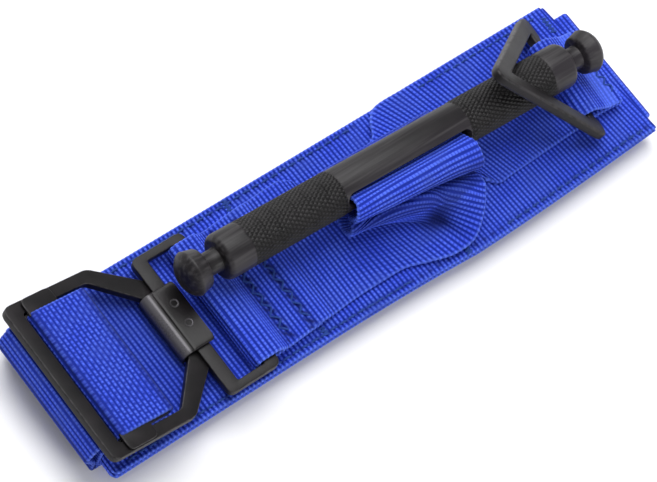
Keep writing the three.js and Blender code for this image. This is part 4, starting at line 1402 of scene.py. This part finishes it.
def build_stage(settings):
    """Floor, lights and camera."""
    mesh = bpy.data.meshes.new("floor")
    side, depth = 2.5, -0.0001
    corners = [(-side, -side, depth), (side, -side, depth), (side, side, depth), (-side, side, depth)]
    mesh.from_pydata(corners, [], [(0, 1, 2, 3)])
    floor = bpy.data.objects.new("floor", mesh)
    bpy.context.scene.collection.objects.link(floor)
    mesh.materials.append(floor_finish(settings))
    soft_light("key_light", (0.12, 0.34, 1.0), 0.8, settings.key_power)
    soft_light("back_light", (0.1, 0.9, 0.55), 0.6, 0.3 * settings.key_power)
    soft_light("front_light", (0.15, -1.0, 0.4), 0.5, 0.32 * settings.key_power)
    world = bpy.data.worlds.new("room")
    world.use_nodes = True
    backdrop = world.node_tree.nodes["Background"]
    backdrop.inputs["Color"].default_value = (1.0, 1.0, 1.0, 1.0)
    backdrop.inputs["Strength"].default_value = settings.sky
    bpy.context.scene.world = world
    bpy.context.scene.view_settings.view_transform = "Standard"
    data = bpy.data.cameras.new("camera")
    data.sensor_width = 36
    data.lens = settings.lens
    data.clip_start = 0.01
    camera = bpy.data.objects.new("camera", data)
    turn = Matrix((EYE_RIGHT, EYE_UP, EYE_BACK)).transposed().to_4x4()
    camera.matrix_world = Matrix.Translation(in_frame(EYE)) @ turn
    bpy.context.scene.collection.objects.link(camera)
    bpy.context.scene.camera = camera


# ---- operators -----------------------------------------------------------------------------
def finish_named(name, make):
    """The material of that name, made once."""
    return bpy.data.materials.get(name) or make()


def blue_webbing(settings):
    """The straps' finish."""
    return finish_named("blue_webbing", lambda: webbing_finish("blue_webbing", settings))


def blackened(settings):
    """The rings' and buckle's finish."""
    return finish_named("blackened_steel", lambda: black_finish("blackened_steel", settings))


class TOURNIQUET_OT_stage(bpy.types.Operator):
    """Set up the floor, the lights and the camera"""

    bl_idname = "tourniquet.stage"
    bl_label = "Stage"

    def execute(self, context):
        build_stage(context.scene.tourniquet_stage)
        return {"FINISHED"}


class TOURNIQUET_OT_base(bpy.types.Operator):
    """Weave the two layers of the wide base"""

    bl_idname = "tourniquet.base"
    bl_label = "Wide base"

    def execute(self, context):
        settings = context.scene.tourniquet_webbing
        build_base(settings, blue_webbing(settings))
        return {"FINISHED"}


class TOURNIQUET_OT_long_strap(bpy.types.Operator):
    """Weave the long strap: its standing run, its turn over the slider and its folded tail"""

    bl_idname = "tourniquet.long_strap"
    bl_label = "Long strap"

    def execute(self, context):
        settings = context.scene.tourniquet_webbing
        build_long_strap(settings, blue_webbing(settings))
        return {"FINISHED"}


class TOURNIQUET_OT_tension_strap(bpy.types.Operator):
    """Weave the tension strap that passes through the rod"""

    bl_idname = "tourniquet.tension_strap"
    bl_label = "Tension strap"

    def execute(self, context):
        settings = context.scene.tourniquet_webbing
        build_tension_strap(settings, blue_webbing(settings))
        return {"FINISHED"}


class TOURNIQUET_OT_windlass(bpy.types.Operator):
    """Turn and knurl the rod and cut its slot"""

    bl_idname = "tourniquet.windlass"
    bl_label = "Windlass rod"

    def execute(self, context):
        settings = context.scene.tourniquet_metal
        build_windlass(settings, rod_finish(settings))
        return {"FINISHED"}


class TOURNIQUET_OT_retaining_ring(bpy.types.Operator):
    """Shape the triangular ring and weave the keeper that holds it"""

    bl_idname = "tourniquet.retaining_ring"
    bl_label = "Retaining ring and keeper"

    def execute(self, context):
        metal = context.scene.tourniquet_metal
        webbing = context.scene.tourniquet_webbing
        build_retaining_ring(black_finish("retaining_ring_black", metal, 0.46))
        build_keeper(webbing, webbing_finish("keeper_webbing", webbing))
        return {"FINISHED"}


class TOURNIQUET_OT_hooked_ring(bpy.types.Operator):
    """Shape the rectangular ring, its hook plate and the two fixings"""

    bl_idname = "tourniquet.hooked_ring"
    bl_label = "Rectangular ring and hook"

    def execute(self, context):
        metal = context.scene.tourniquet_metal
        build_rectangular_ring(blackened(metal))
        hook = black_finish("hook_plate_steel", metal, 0.34)
        build_hook(hook)
        build_rivets(hook)
        return {"FINISHED"}


class TOURNIQUET_OT_buckle(bpy.types.Operator):
    """Shape the buckle frame and its slider"""

    bl_idname = "tourniquet.buckle"
    bl_label = "Buckle frame and slider"

    def execute(self, context):
        finish = blackened(context.scene.tourniquet_metal)
        build_buckle_frame(finish)
        build_slider(finish)
        return {"FINISHED"}


class TOURNIQUET_OT_stitching(bpy.types.Operator):
    """Sew every row of stitches"""

    bl_idname = "tourniquet.stitching"
    bl_label = "Stitching"

    def execute(self, context):
        build_stitching(thread_finish(context.scene.tourniquet_webbing))
        return {"FINISHED"}


STEPS = (
    TOURNIQUET_OT_stage,
    TOURNIQUET_OT_base,
    TOURNIQUET_OT_long_strap,
    TOURNIQUET_OT_tension_strap,
    TOURNIQUET_OT_windlass,
    TOURNIQUET_OT_retaining_ring,
    TOURNIQUET_OT_hooked_ring,
    TOURNIQUET_OT_buckle,
    TOURNIQUET_OT_stitching,
)


class TOURNIQUET_PT_steps(bpy.types.Panel):
    """Lists the steps and the settings in the sidebar"""

    bl_idname = "TOURNIQUET_PT_steps"
    bl_label = "Tourniquet"
    bl_space_type = "VIEW_3D"
    bl_region_type = "UI"
    bl_category = "Tourniquet"

    def draw(self, context):
        for step in STEPS:
            self.layout.operator(step.bl_idname)
        for group in SETTINGS:
            box = self.layout.box()
            for label in SETTINGS[group].__annotations__:
                box.prop(getattr(context.scene, group), label)


SETTINGS = {
    "tourniquet_webbing": WebbingSettings,
    "tourniquet_metal": MetalSettings,
    "tourniquet_stage": StageSettings,
}
CLASSES = (*SETTINGS.values(), *STEPS, TOURNIQUET_PT_steps)


def register():
    for cls in CLASSES:
        bpy.utils.register_class(cls)
    for label, group in SETTINGS.items():
        setattr(bpy.types.Scene, label, bpy.props.PointerProperty(type=group))


def unregister():
    for label in SETTINGS:
        delattr(bpy.types.Scene, label)
    for cls in reversed(CLASSES):
        bpy.utils.unregister_class(cls)


def main():
    register()
    for step in STEPS:
        area, name = step.bl_idname.split(".")
        if getattr(getattr(bpy.ops, area), name)() != {"FINISHED"}:
            raise RuntimeError(f"{step.bl_label} was not finished")


if __name__ == "__main__":
    main()
